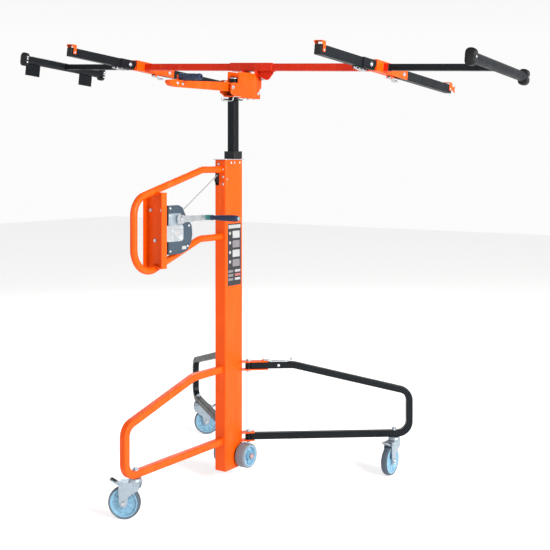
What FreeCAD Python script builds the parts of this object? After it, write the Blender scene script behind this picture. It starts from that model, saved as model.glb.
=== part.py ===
# Drywall lift: a telescoping mast on three casters, with a hand winch and a tilting board cradle.
# Frame: +X along the cradle's main beam, -Y towards the operator, +Z up, in millimetres.
# The origin is on the floor, on the axis of the orange mast.
import FreeCAD
import Part
import math
import os
from FreeCAD import Placement, Rotation, Vector

doc = FreeCAD.newDocument("DrywallLift")

DIMENSIONS = {
    "mastWide": 56, "mastDeep": 120, "mastWall": 2, "mastFoot": 47, "mastTop": 1355,
    "capThick": 3, "capOver": 7, "guideTall": 30,
    "stageY": 31, "stageTwoSide": 48, "stageTwoWall": 2.5, "stageTwoFoot": 125, "stageTwoTop": 1376,
    "stageThreeSide": 36, "stageThreeWall": 2.5, "stageThreeFoot": 150, "headBase": 1618,
    "collarTop": 1388, "slideGap": 0.5, "footTall": 30,
    "legSide": 28, "legWall": 2, "legLow": 170, "legHigh": 472, "legCorner": 350,
    "legReach": 696, "legBend": 193, "frontReach": 641, "frontBend": 240, "legAngle": 38.3,
    "hingeX": 46, "hingeY": 79, "pinRadius": 6, "plateThick": 4, "stemInset": 66, "frontStem": 584,
    "casterRadius": 62.5, "casterTrail": 41, "casterWide": 30, "stemRadius": 6,
    "truckRadius": 51, "truckWide": 48, "truckY": 45, "truckZ": 97, "axleRadius": 8,
    "hoopRadius": 14, "hoopWall": 2, "hoopY": 592, "hoopTop": 1311, "hoopLow": 1029,
    "channelY": 460, "channelWide": 96, "channelDeep": 25, "channelLow": 934, "channelTop": 1226,
    "drumY": 385, "drumZ": 1048, "crankZ": 1120, "drumRadius": 31.5, "gearModule": 2.4,
    "gearTeeth": 44, "pinionTeeth": 16, "crankReach": 163, "cableRadius": 2.5, "cableX": 16,
    "pulleyY": 48, "pulleyZ": 1270, "pulleyRadius": 18,
    "headLean": 3.0, "cradleTilt": 4.1, "pivotY": 179, "pivotZ": 1715,
    "beamY": 159, "beamZ": 1755, "beamSide": 30, "beamWall": 2, "sleeveLong": 224, "beamEnd": 677,
    "extSide": 25.4, "extWall": 2, "crossX": 635, "crossWide": 38, "crossTall": 46,
    "armWide": 30, "armTall": 38, "armWall": 2, "armDrop": 4, "armNear": 480, "armFar": 650,
    "barRadius": 20, "barHalf": 250, "barLeft": 1165, "barRight": 1135,
}

sheet = doc.addObject("Spreadsheet::Sheet", "dims")
for row, (alias, number) in enumerate(DIMENSIONS.items(), start=1):
    sheet.set("A%d" % row, alias)
    sheet.set("B%d" % row, str(number))
    sheet.setAlias("B%d" % row, alias)
doc.recompute()

WORLD = Placement()
X_AXIS = Vector(1, 0, 0)
Y_AXIS = Vector(0, 1, 0)
Z_AXIS = Vector(0, 0, 1)
NODES = []


def size(alias):
    return float(sheet.get(alias))


# ---------------------------------------------------------------- building helpers

def bind(piece, prop, value):
    """Give a property a number, or bind it to an expression over the sheet."""
    if isinstance(value, str):
        piece.setExpression(prop, value)
    else:
        setattr(piece, prop, value)


def box(long, wide, tall, corner, at=WORLD):
    """A block with its lowest corner at corner, in the frame at."""
    piece = doc.addObject("Part::Box", "Block")
    bind(piece, "Length", long)
    bind(piece, "Width", wide)
    bind(piece, "Height", tall)
    piece.Placement = at.multiply(Placement(Vector(*corner), Rotation()))
    return piece


def rod(radius, long, base, axis=Z_AXIS, at=WORLD):
    """A round bar that starts at base and runs along axis."""
    piece = doc.addObject("Part::Cylinder", "Rod")
    bind(piece, "Radius", radius)
    bind(piece, "Height", long)
    piece.Placement = at.multiply(Placement(Vector(*base), Rotation(Z_AXIS, axis)))
    return piece


def join(*pieces):
    if len(pieces) == 1:
        return pieces[0]
    result = doc.addObject("Part::MultiFuse", "Join")
    result.Shapes = list(pieces)
    return result


def cut(base, *tools):
    result = doc.addObject("Part::Cut", "Cut")
    result.Base = base
    result.Tool = join(*tools)
    return result


def together(*pieces):
    """Separate solids that share one node."""
    result = doc.addObject("Part::Compound", "Set")
    result.Links = list(pieces)
    return result


def solid(shape, at=WORLD):
    """A piece whose outline no primitive gives."""
    piece = doc.addObject("Part::Feature", "Piece")
    piece.Shape = shape
    piece.Placement = at
    return piece


def soften(piece, radius, along):
    """Round the edges of a piece that run along one direction."""
    doc.recompute()
    edges = []
    for number, edge in enumerate(piece.Shape.Edges, start=1):
        if edge.Curve.TypeId != "Part::GeomLine":
            continue
        if abs(abs(edge.tangentAt(edge.FirstParameter).dot(along)) - 1) < 1e-4:
            edges.append((number, radius, radius))
    result = doc.addObject("Part::Fillet", "Soft")
    result.Base = piece
    result.Edges = edges
    return result


def node(name, piece):
    piece.Label = name
    NODES.append(piece)
    return piece


def sheet_metal(points, thick, along, at=WORLD):
    """A flat plate: a closed outline of points, pushed along a direction."""
    corners = [Vector(*point) for point in points]
    face = Part.Face(Part.makePolygon(corners + corners[:1]))
    return solid(face.extrude(along * thick), at)


def rounded_path(points, radii):
    """Straight runs joined by tangent arcs; radii holds one radius for each inner point."""
    points = [Vector(*point) for point in points]
    edges = []
    start = points[0]
    for before, corner, after, radius in zip(points, points[1:], points[2:], radii):
        into = (corner - before).normalize()
        out = (after - corner).normalize()
        turn = into.getAngle(out)
        reach = radius * math.tan(turn / 2)
        first = corner - into * reach
        last = corner + out * reach
        inward = (out - into).normalize()
        centre = corner + inward * (radius / math.cos(turn / 2))
        middle = centre - inward * radius
        edges.append(Part.LineSegment(start, first).toShape())
        edges.append(Part.Arc(first, middle, last).toShape())
        start = last
    edges.append(Part.LineSegment(start, points[-1]).toShape())
    return Part.Wire(edges)


def square_profile(side, corner, centre, across):
    """A rounded square about centre; across is one side's direction, the other is vertical."""
    half = side / 2 - corner
    edges = []
    for index in range(4):
        angle = index * math.pi / 2
        ends = []
        for swing in (0, 45, 90):
            turn = angle + math.radians(swing)
            u = half * (1 if index in (0, 3) else -1) + corner * math.cos(turn)
            v = half * (1 if index in (0, 1) else -1) + corner * math.sin(turn)
            ends.append(centre + across * u + Z_AXIS * v)
        edges.append((ends, Part.Arc(*ends).toShape()))
    outline = []
    for index in range(4):
        outline.append(edges[index][1])
        outline.append(Part.LineSegment(edges[index][0][2], edges[(index + 1) % 4][0][0]).toShape())
    return Part.Wire(outline)


def swept(path, profile):
    return path.makePipeShell([profile], True, False)


def square_tube(points, radii, side, wall, across):
    """A bent square tube whose first run is horizontal."""
    path = rounded_path(points, radii)
    start = Vector(*points[0])
    outer = swept(path, square_profile(side, 4, start, across))
    inner = swept(path, square_profile(side - 2 * wall, 2, start, across))
    return outer, inner


def round_bar(points, radii, radius, heading):
    """A bent round bar; heading is the direction of its first run."""
    path = rounded_path(points, radii)
    profile = Part.Wire(Part.makeCircle(radius, Vector(*points[0]), heading))
    return swept(path, profile)


# ---------------------------------------------------------------- mast and stages

def mast_tube():
    shell_tall = "dims.mastTop - dims.capThick - dims.mastFoot"
    half_x = size("mastWide") / 2
    half_y = size("mastDeep") / 2
    wall = size("mastWall")
    outer = soften(box("dims.mastWide", "dims.mastDeep", shell_tall, (-half_x, -half_y, size("mastFoot"))), 5, Z_AXIS)
    inner = box("dims.mastWide - 2 * dims.mastWall", "dims.mastDeep - 2 * dims.mastWall", shell_tall,
                (-half_x + wall, -half_y + wall, size("mastFoot")))
    slot = box(18, 12, 50, (-size("cableX") - 9, -half_y - 6, size("pulleyZ") - 25))
    truck = rod("dims.axleRadius", 100, (-50, size("truckY"), size("truckZ")), X_AXIS)
    pulley = rod(4, 100, (-50, -size("pulleyY"), size("pulleyZ")), X_AXIS)
    return cut(outer, inner, slot, truck, pulley)


def mast_cap_plate():
    over = size("capOver")
    half_x = size("mastWide") / 2 + over
    half_y = size("mastDeep") / 2 + over
    plate = soften(box("dims.mastWide + 2 * dims.capOver", "dims.mastDeep + 2 * dims.capOver", "dims.capThick",
                       (-half_x, -half_y, size("mastTop") - size("capThick"))), 4, Z_AXIS)
    return cut(plate, stage_hole(size("mastTop") - 20, 40, 1))


def stage_hole(low, tall, gap):
    side = size("stageTwoSide") + 2 * gap
    return box("dims.stageTwoSide + %s" % (2 * gap), "dims.stageTwoSide + %s" % (2 * gap), tall,
               (-side / 2, size("stageY") - side / 2, low))


def mast_guide_block():
    gap = 0.0
    half_x = size("mastWide") / 2 - size("mastWall") - gap
    half_y = size("mastDeep") / 2 - size("mastWall") - gap
    low = size("mastTop") - size("capThick") - size("guideTall")
    block = box("dims.mastWide - 2 * dims.mastWall", "dims.mastDeep - 2 * dims.mastWall", "dims.guideTall",
                (-half_x, -half_y, low))
    return cut(block, stage_hole(low - 5, 50, size("slideGap")))


def square_stage(side, wall, low, high):
    """A straight square stage of the mast: side and wall are aliases, low and high are heights."""
    half = size(side) / 2
    outer = soften(box("dims." + side, "dims." + side, high - low, (-half, size("stageY") - half, low)), 4, Z_AXIS)
    clear = half - size(wall)
    inner = box("dims.%s - 2 * dims.%s" % (side, wall), "dims.%s - 2 * dims.%s" % (side, wall), high - low,
                (-clear, size("stageY") - clear, low))
    return cut(outer, inner)


def stage_two_guides():
    """The collar that tops the second stage, and the foot that guides it inside the mast."""
    half = size("stageTwoSide") / 2
    low = size("mastTop") + 1
    collar = soften(box(54, 58, size("collarTop") - low, (-27, size("stageY") - 29, low)), 3, Z_AXIS)
    seat = box("dims.stageTwoSide", "dims.stageTwoSide", size("stageTwoTop") - low,
               (-half, size("stageY") - half, low))
    bore = size("stageThreeSide") / 2 + size("slideGap")
    passage = box(2 * bore, 2 * bore, 60, (-bore, size("stageY") - bore, low - 5))
    foot_x = size("mastWide") / 2 - size("mastWall") - size("slideGap")
    foot_y = size("mastDeep") / 2 - size("mastWall") - size("slideGap")
    bottom = size("stageTwoFoot") - 10
    foot = box(2 * foot_x, 2 * foot_y, "dims.footTall", (-foot_x, -foot_y, bottom))
    socket = box("dims.stageTwoSide", "dims.stageTwoSide", 60, (-half, size("stageY") - half, size("stageTwoFoot")))
    cable_way = rod(7, 60, (-size("cableX"), cable_drop_y(), bottom - 10))
    return together(cut(collar, seat, passage), cut(foot, socket, cable_way))


def cable_drop_y():
    """The line on which the cable runs down inside the mast."""
    return -size("pulleyY") + size("pulleyRadius") + size("cableRadius")


def mast_pulley():
    """A grooved pulley behind the slot, turning on a pin along X."""
    centre = (-size("cableX"), -size("pulleyY"), size("pulleyZ"))
    radius = size("pulleyRadius")
    half = 7
    rim = radius + 4
    profile = [(4.05, -half), (rim, -half), (rim, -half + 1.5), (radius, -2.6), (radius, 2.6),
               (rim, half - 1.5), (rim, half), (4.05, half)]
    return turned(profile, centre)


def turned(profile, centre, at=WORLD):
    """A ring or wheel: a closed profile of (radius, offset along X), turned about X."""
    corners = [Vector(offset, 0, radius) for radius, offset in profile]
    face = Part.Face(Part.makePolygon(corners + corners[:1]))
    shape = face.revolve(Vector(0, 0, 0), X_AXIS, 360)
    return solid(shape, at.multiply(Placement(Vector(*centre), Rotation())))


def frame_axles():
    """The truck wheels' axle with its end washers, and the mast pulley's pin with its head."""
    reach = size("mastWide") / 2 + 5 + size("truckWide") + 5
    axle = rod("dims.axleRadius", 2 * reach, (-reach, size("truckY"), size("truckZ")), X_AXIS)
    ends = []
    for start in (-reach - 3, reach):
        ends.append(rod(11, 3, (start, size("truckY"), size("truckZ")), X_AXIS))
    pin = rod(4, size("mastWide"), (-size("mastWide") / 2, -size("pulleyY"), size("pulleyZ")), X_AXIS)
    head = rod(7, 4, (-size("mastWide") / 2 - 4, -size("pulleyY"), size("pulleyZ")), X_AXIS)
    return together(join(axle, *ends), join(pin, head))


def truck_wheel(side):
    """A broad wheel beside the mast's foot; side is +1 or -1 along X."""
    radius = size("truckRadius")
    half = size("truckWide") / 2
    centre = (side * (size("mastWide") / 2 + 5 + half), size("truckY"), size("truckZ"))
    hub = size("axleRadius") + 0.08
    profile = [(hub, -half), (19, -half), (19, -8), (39, -8), (39, -half), (radius - 5, -half),
               (radius - 1.5, -half + 2.5), (radius, -half + 7), (radius, half - 7), (radius - 1.5, half - 2.5),
               (radius - 5, half), (39, half), (39, 8), (19, 8), (19, half), (hub, half)]
    return turned(profile, centre)


# ---------------------------------------------------------------- legs and their hinges

def leg_frame(side):
    """The frame of a folding leg's own plane: local +X runs out along the leg."""
    angle = size("legAngle") if side > 0 else 180 - size("legAngle")
    return Placement(Vector(side * size("hingeX"), size("hingeY"), 0), Rotation(Z_AXIS, angle))


def leg_loop(start, reach, bend, corner):
    """The points and bend radii of a leg: out low, up, sloping back, and in level."""
    low = size("legLow")
    high = size("legHigh")
    points = [(start, 0, low), (reach, 0, low), (reach, 0, corner), (bend, 0, high), (start, 0, high)]
    return points, [52, 48, 70]


def folding_leg(side):
    at = leg_frame(side)
    points, radii = leg_loop(11, size("legReach"), size("legBend"), size("legCorner"))
    outer, inner = square_tube(points, radii, size("legSide"), size("legWall"), Y_AXIS)
    half = size("legSide") / 2
    knuckles = []
    bores = []
    for height in (size("legLow"), size("legHigh")):
        knuckles.append(rod("dims.legSide / 2", "dims.legSide", (0, 0, height - half), Z_AXIS, at))
        bores.append(rod("dims.pinRadius + 0.06", "dims.legSide + 2", (0, 0, height - half - 1), Z_AXIS, at))
    stem = rod("dims.stemRadius + 0.06", "dims.legSide + 2",
               (size("legReach") - size("stemInset"), 0, size("legLow") - half - 1), Z_AXIS, at)
    tube = cut(solid(outer, at), solid(inner, at))
    return cut(join(tube, *knuckles), stem, *bores)


def front_leg():
    at = Placement(Vector(0, 0, 0), Rotation(Z_AXIS, -90))
    points, radii = leg_loop(size("mastDeep") / 2, size("frontReach"), size("frontBend"), size("legCorner") + 6)
    outer, inner = square_tube(points, radii, size("legSide"), size("legWall"), Y_AXIS)
    stem = rod("dims.stemRadius + 0.06", "dims.legSide + 2",
               (size("frontStem"), 0, size("legLow") - size("legSide") / 2 - 1), Z_AXIS, at)
    return cut(solid(outer, at), solid(inner, at), stem)


def hinge_plate(side, low, long):
    """One welded plate of a leg hinge, from the mast's back corner out under or over the leg."""
    inner = size("mastWide") / 2
    back = size("mastDeep") / 2
    heading = math.radians(size("legAngle"))
    along = Vector(math.cos(heading), math.sin(heading), 0)
    across = Vector(-math.sin(heading), math.cos(heading), 0)
    pin = Vector(size("hingeX"), size("hingeY"), 0)
    half = size("legSide") / 2 + 1
    tip_right = pin + along * long - across * half
    tip_left = pin + along * long + across * half
    shoulder = pin + along * 10 - across * (half + 4)
    crown = pin + across * (half + 2) - along * 10
    corners = [Vector(inner, back - 30, 0), shoulder, tip_right, tip_left, crown, Vector(inner - 16, back, 0),
               Vector(inner, back, 0)]
    points = [(side * corner.x, corner.y, low) for corner in corners]
    return sheet_metal(points, size("plateThick"), Z_AXIS)


LOCK_PIVOT = 62


def leg_hinge_brackets():
    """Both legs' upper and lower hinge plates, bored for their pins, with the lock levers' ears."""
    plates = []
    half = size("legSide") / 2 + 0.6
    for side in (-1, 1):
        pin = (side * size("hingeX"), size("hingeY"), 0)
        for height, long in ((size("legLow"), 26), (size("legHigh"), 84)):
            for low in (height - half - size("plateThick"), height + half):
                plate = cut(hinge_plate(side, low, long), rod("dims.pinRadius", 800, pin))
                if low > size("legHigh"):
                    plate = join(plate, *lock_ears(side))
                plates.append(plate)
    return together(*plates)


def frame_bolts():
    """The legs' hinge bolts with their heads and nuts, and the mast's guide screws."""
    bolts = []
    reach = size("legSide") / 2 + 0.6 + size("plateThick")
    for side in (-1, 1):
        for height in (size("legLow"), size("legHigh")):
            x = side * size("hingeX")
            y = size("hingeY")
            pin = rod("dims.pinRadius", 2 * reach, (x, y, height - reach))
            head = rod(10, 6, (x, y, height + reach))
            nut = rod(9.5, 6, (x, y, height - reach - 6))
            bolts.append(join(pin, head, nut))
    bolts.append(rod(5, 3, (size("mastWide") / 2, 0, size("mastTop") - 15), X_AXIS))
    bolts.append(rod(5, 3, (-7, -size("mastDeep") / 2 - 3, size("mastTop") - 22), Y_AXIS))
    return together(*bolts)


def lock_pivot_height():
    return size("legHigh") + size("legSide") / 2 + size("plateThick") + 4.1


def lock_ears(side):
    """Two ears and a pin on a leg's upper hinge plate, which carry its lock lever."""
    at = leg_frame(side)
    plate_top = size("legHigh") + size("legSide") / 2 + 0.6 + size("plateThick")
    pivot = lock_pivot_height()
    pieces = [rod(1.5, 25, (LOCK_PIVOT, -12.5, pivot), Y_AXIS, at)]
    for start in (-12.5, 10):
        pieces.append(box(8, 2.5, pivot + 3 - plate_top, (LOCK_PIVOT - 4, start, plate_top), at))
    return pieces


def leg_lock(side):
    """The flat lever that lies on a folding leg and pins it open, with an eye round its pin."""
    at = leg_frame(side)
    top = size("legHigh") + size("legSide") / 2
    pivot = lock_pivot_height()
    profile = [(92, 0, top + 0.3), (166, 0, top + 0.3), (186, 0, top + 9), (182, 0, top + 12), (164, 0, top + 3.6),
               (100, 0, top + 3.6), (94, 0, pivot + 1.5), (LOCK_PIVOT, 0, pivot + 1.5),
               (LOCK_PIVOT, 0, pivot - 1.5), (90, 0, pivot - 1.5)]
    shifted = [(x, -9, z) for x, y, z in profile]
    strip = sheet_metal(shifted, 18, Y_AXIS, at)
    eye = rod(2.9, 18, (LOCK_PIVOT, -9, pivot), Y_AXIS, at)
    return cut(join(strip, eye), rod(1.54, 30, (LOCK_PIVOT, -15, pivot), Y_AXIS, at))


# ---------------------------------------------------------------- casters

def caster_frame(name):
    """A caster's own frame: origin under the stem, local +X towards the wheel's trail."""
    if name == "front":
        return Placement(Vector(0, -size("frontStem"), 0), Rotation(Z_AXIS, -153))
    side = 1 if name == "right" else -1
    stem = leg_frame(side).multVec(Vector(size("legReach") - size("stemInset"), 0, 0))
    return Placement(stem, Rotation(Z_AXIS, -88 if side > 0 else 34))


def caster_fork(name):
    """Two cheeks and a crown, with the swivel race, the stem and its nut, and the wheel's axle."""
    at = caster_frame(name)
    trail = size("casterTrail")
    hub = size("casterRadius")
    underside = size("legLow") - size("legSide") / 2
    crown = underside - 13
    outline = [(-24, crown), (58, crown), (60, crown - 22), (trail + 16, hub + 6), (trail + 12, hub - 12),
               (trail - 8, hub - 15), (trail - 15, hub - 4), (trail - 20, hub + 26), (-18, crown - 28)]
    pieces = []
    for inner in (-20, 17):
        pieces.append(sheet_metal([(x, inner, z) for x, z in outline], 3, Y_AXIS, at))
    pieces.append(box(82, 40, 3, (-24, -20, crown - 3), at))
    pieces.append(rod(23, underside - 0.4 - crown, (0, 0, crown), Z_AXIS, at))
    pieces.append(rod("dims.stemRadius", "dims.legSide + 12", (0, 0, underside - 0.5), Z_AXIS, at))
    pieces.append(rod(10, 8, (0, 0, underside + size("legSide") + 0.4), Z_AXIS, at))
    pieces.append(rod(4, 44, (trail, -22, hub), Y_AXIS, at))
    for end in (-25, 20):
        pieces.append(rod(8, 5, (trail, end, hub), Y_AXIS, at))
    pieces.append(rod(3, 44, (54, -22, crown - 10), Y_AXIS, at))
    return join(*pieces)


def caster_wheel(name):
    """A tyre on a webbed wheel centre: two solids that roll as one."""
    at = caster_frame(name).multiply(Placement(Vector(size("casterTrail"), 0, size("casterRadius")),
                                               Rotation(Z_AXIS, 90)))
    radius = size("casterRadius")
    half = size("casterWide") / 2
    seat = radius - 9
    tyre = [(seat, -half + 1), (radius - 5, -half), (radius - 1, -half + 5), (radius, -4), (radius, 4),
            (radius - 1, half - 5), (radius - 5, half), (seat, half - 1)]
    centre = [(4.08, -16), (13, -16), (15, -7), (seat - 9, -5), (seat - 6, -half + 2), (seat, -half + 2),
              (seat, half - 2), (seat - 6, half - 2), (seat - 9, 5), (15, 7), (13, 16), (4.08, 16)]
    return together(turned(tyre, (0, 0, 0), at), turned(centre, (0, 0, 0), at))


def caster_pedal(name):
    """The brake pedal, on a pin between the fork's cheeks."""
    at = caster_frame(name)
    crown = size("legLow") - size("legSide") / 2 - 13
    profile = [(48, crown - 15), (60, crown - 16), (70, crown - 12), (98, crown + 3), (96, crown + 8),
               (68, crown - 5), (50, crown - 5)]
    tread = sheet_metal([(x, -13, z) for x, z in profile], 26, Y_AXIS, at)
    return cut(tread, rod(3.06, 44, (54, -22, crown - 10), Y_AXIS, at))


# ---------------------------------------------------------------- winch

def hoop_route():
    """The winch hoop's corners in the plane X = 0."""
    face = -size("mastDeep") / 2
    top = size("hoopTop")
    low = size("hoopLow")
    outer = -size("hoopY")
    return [(0, face, top), (0, -180, top), (0, outer, 1201), (0, outer, 890), (0, -198, low), (0, face, low)]


def hoop_bar(radius):
    return round_bar(hoop_route(), [90, 78, 88, 90], radius, Y_AXIS)


def winch_hoop():
    return cut(solid(hoop_bar(size("hoopRadius"))), solid(hoop_bar(size("hoopRadius") - size("hoopWall"))))


def winch_channel():
    """The upright channel welded between the hoop's two runs, notched to fit over the tube."""
    half = size("channelWide") / 2
    web_y = -size("channelY") - 2
    tall = "dims.channelTop - dims.channelLow"
    web = box("dims.channelWide", 4, tall, (-half, web_y, size("channelLow")))
    flanges = []
    for x in (-half, half - 4):
        flanges.append(box(4, "dims.channelDeep", tall, (x, web_y - size("channelDeep"), size("channelLow"))))
    bolt_holes = [rod(5, 30, (x, -size("channelY") - 12, z), Y_AXIS) for x, z in winch_bolt_places()]
    return cut(join(web, *flanges), solid(hoop_bar(size("hoopRadius"))), *bolt_holes)


def winch_bolt_places():
    return [(-29, 1157), (29, 1157), (-6, 1040)]


def winch_frame():
    """Base plate, two cheeks and an outer strap, folded from zinc-plated sheet."""
    back = -size("channelY") + 2
    base = box(84, 3, 196, (-41, back, 985))
    drum = (size("drumZ"), -size("drumY"))
    profile = [(back + 3, 992), (-400, 992), (-352, 1004), (-330, 1040), (-336, 1092), (-352, 1146), (-400, 1164),
               (back + 3, 1170)]
    cheeks = []
    for x in (-39, 20):
        cheeks.append(sheet_metal([(x, y, z) for y, z in profile], 3, X_AXIS))
    holes = [rod(8, 120, (-60, drum[1], drum[0]), X_AXIS), rod(7, 120, (-60, drum[1], size("crankZ")), X_AXIS)]
    holes += [rod(5, 30, (x, -size("channelY") - 12, z), Y_AXIS) for x, z in winch_bolt_places()]
    strap_outline = [(back + 3, 1036), (-366, 1036), (-359, 1042), (-359, 1090), (-370, 1098), (back + 3, 1098)]
    strap = sheet_metal([(46.2, y, z) for y, z in strap_outline], 2.3, X_AXIS)
    foot = box(5.5, 3, 62, (43, back, 1036))
    return cut(join(base, *cheeks, strap, foot), *holes)


def winch_bolts():
    """Three bolts that hold the winch to the channel."""
    bolts = []
    for x, z in winch_bolt_places():
        shank = rod(5, 9, (x, -size("channelY") - 4, z), Y_AXIS)
        head = rod(6.6, 5, (x, -size("channelY") - 7, z), Y_AXIS)
        bolts.append(join(shank, head))
    return together(*bolts)


def cover_outline():
    """The side view of the winch cover: flat at the back, bulged round the gear in front."""
    return [(-446, 986), (-370, 984), (-330, 996), (-309, 1022), (-301, 1056), (-305, 1092), (-340, 1130),
            (-362, 1165), (-384, 1175), (-446, 1175)]


def winch_cover():
    """The moulded gear cover on the winch's right cheek, open towards the cheek."""
    outline = cover_outline()
    centre_y = sum(y for y, z in outline) / len(outline)
    centre_z = sum(z for y, z in outline) / len(outline)
    shrink = 0.955
    inside = [(centre_y + (y - centre_y) * shrink, centre_z + (z - centre_z) * shrink) for y, z in outline]
    outer = sheet_metal([(23, y, z) for y, z in outline], 23, X_AXIS)
    inner = sheet_metal([(22, y, z) for y, z in inside], 21, X_AXIS)
    crank_hole = rod(10, 60, (20, -size("drumY"), size("crankZ")), X_AXIS)
    drum_hole = rod(9, 60, (20, -size("drumY"), size("drumZ")), X_AXIS)
    return cut(outer, inner, crank_hole, drum_hole)


def gear(teeth, phase, axis_z):
    """A spur gear on an axis along X; phase is its first tooth's angle from straight up."""
    module = size("gearModule")
    pitch = module * teeth / 2
    step = 2 * math.pi / teeth
    corners = []
    for tooth in range(int(teeth)):
        centre = phase + tooth * step
        for radius, half in ((pitch - 1.2 * module, -0.92), (pitch + 0.85 * module, -0.33),
                             (pitch + 0.85 * module, 0.33), (pitch - 1.2 * module, 0.92)):
            angle = centre + half * module / radius
            corners.append((25, -size("drumY") + radius * math.sin(angle), axis_z + radius * math.cos(angle)))
    return sheet_metal(corners, 8, X_AXIS)


def winch_drum():
    """The cable drum between the cheeks, its shaft and its gear beside the right cheek."""
    core = size("drumRadius")
    profile = [(0, -43), (7.92, -43), (7.92, -35), (50, -35), (50, -32), (core, -31), (core, 16), (50, 17),
               (50, 19), (7.92, 19), (7.92, 44), (0, 44)]
    body = turned(profile, (0, -size("drumY"), size("drumZ")))
    return join(body, gear(size("gearTeeth"), 0, size("drumZ")))


def winch_crank():
    """The crank: pinion shaft, brake hub, flat arm and the grip's pin."""
    y = -size("drumY")
    z = size("crankZ")
    reach = size("crankReach")
    profile = [(0, -44), (6.92, -44), (6.92, 49.5), (17, 49.5), (17, 60), (0, 60)]
    shaft = turned(profile, (0, y, z))
    pinion = gear(size("pinionTeeth"), math.pi * (1 + 1 / size("pinionTeeth")), z)
    arm_outline = [(-17, -13), (30, -13), (reach - 6, -11), (reach + 6, -7), (reach + 9, 0), (reach + 6, 7),
                   (reach - 6, 11), (30, 13), (-17, 13)]
    arm = sheet_metal([(52, y + u, z + v) for u, v in arm_outline], 6, X_AXIS)
    ferrule = rod(10, 22, (58, y + reach, z), X_AXIS)
    pin = rod(5, 142, (78, y + reach, z), X_AXIS)
    return join(shaft, pinion, arm, ferrule, pin)


def crank_grip():
    """The tapered grip that spins on the crank's pin."""
    y = -size("drumY") + size("crankReach")
    profile = [(5.08, 80.5), (10.5, 80.5), (11.5, 84), (9.5, 92), (10, 110), (12, 150), (13, 190), (12.5, 212),
               (9, 217), (5.08, 217)]
    return turned(profile, (0, y, size("crankZ")))


def winch_cable():
    """The steel cable: off the drum's top, over the mast pulley and down inside the mast."""
    radius = size("cableRadius")
    drum_ring = size("drumRadius") + 0.3 + radius
    pulley_ring = size("pulleyRadius") + 0.3 + radius
    drum = Vector(-size("cableX"), -size("drumY"), size("drumZ"))
    pulley = Vector(-size("cableX"), -size("pulleyY"), size("pulleyZ"))
    gap = pulley - drum
    slope = math.atan2(gap.z, gap.y) - math.asin((drum_ring - pulley_ring) / gap.Length)
    normal = Vector(0, -math.sin(slope), math.cos(slope))
    leave = drum + normal * drum_ring
    meet = pulley + normal * pulley_ring
    half_way = Vector(0, -math.sin(slope / 2 - math.pi / 4), math.cos(slope / 2 - math.pi / 4))
    top = pulley + half_way * pulley_ring
    fall = pulley + Vector(0, pulley_ring, 0)
    low = Vector(fall.x, fall.y, size("stageTwoFoot"))
    back_turn = Vector(0, -math.sin(slope + math.pi * 0.55), math.cos(slope + math.pi * 0.55))
    back_middle = Vector(0, -math.sin(slope + math.pi * 0.275), math.cos(slope + math.pi * 0.275))
    begin = drum + back_turn * drum_ring
    path = Part.Wire([Part.Arc(begin, drum + back_middle * drum_ring, leave).toShape(),
                      Part.LineSegment(leave, meet).toShape(),
                      Part.Arc(meet, top, fall).toShape(),
                      Part.LineSegment(fall, low).toShape()])
    heading = Vector(0, back_turn.z, -back_turn.y)
    profile = Part.Wire(Part.makeCircle(radius, begin, heading))
    return solid(swept(path, profile))


# ---------------------------------------------------------------- swivelling head

HEAD = Placement(Vector(0, size("stageY"), size("headBase")), Rotation(Y_AXIS, size("headLean")))


def swivel_spindle():
    """The top plate of the third stage and the post on which the head turns."""
    plate = soften(box(64, 64, 5, (-32, -32, -12), HEAD), 8, HEAD.Rotation.multVec(Z_AXIS))
    collar = rod(20, 24, (0, 0, -24), Z_AXIS, HEAD)
    post = rod(15, 82, (0, 0, -2), Z_AXIS, HEAD)
    seat = box(60, 60, 40, (-30, size("stageY") - 30, size("headBase") - 54))
    return cut(join(plate, collar, post), seat)


def head_bracket():
    """The orange U bracket: a base bored for the post, and two upright plates."""
    inner = 25
    thick = 5
    base = box(2 * inner + 2 * thick, 186, 6, (-inner - thick, -30, 0.3), HEAD)
    outline = [(-8, 6.3), (156, 6.3), (156, 20), (149, 26), (149, 40), (162, 48), (162, 92), (142, 109),
               (-6, 109), (-6, 62), (-50, 60), (-56, 52), (-56, 16), (-34, 6.3)]
    sides = []
    for x in (-inner - thick, inner):
        sides.append(sheet_metal([(x, y, z) for y, z in outline], thick, X_AXIS, HEAD))
    bore = rod(15.06, 40, (0, 0, -10), Z_AXIS, HEAD)
    pivot = rod(6, 100, (-50, pivot_local().y, pivot_local().z), X_AXIS, HEAD)
    lever_pin = rod(5.06, 100, (-50, -44, 42), X_AXIS, HEAD)
    return cut(join(base, *sides), bore, pivot, lever_pin)


def pivot_local():
    return Vector(0, size("pivotY") - size("stageY"), size("pivotZ") - size("headBase"))


CRADLE = HEAD.multiply(Placement(pivot_local(), Rotation(X_AXIS, -size("cradleTilt"))))
BEAM_Y = size("beamY") - size("pivotY")
BEAM_Z = size("beamZ") - size("pivotZ")


def tilt_pivot_bolt():
    """The bolt along X on which the cradle tips."""
    y = pivot_local().y
    z = pivot_local().z
    shank = rod(6, 84, (-42, y, z), X_AXIS, HEAD)
    heads = [rod(10, 6, (start, y, z), X_AXIS, HEAD) for start in (-48, 42)]
    return join(shank, *heads)


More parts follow.
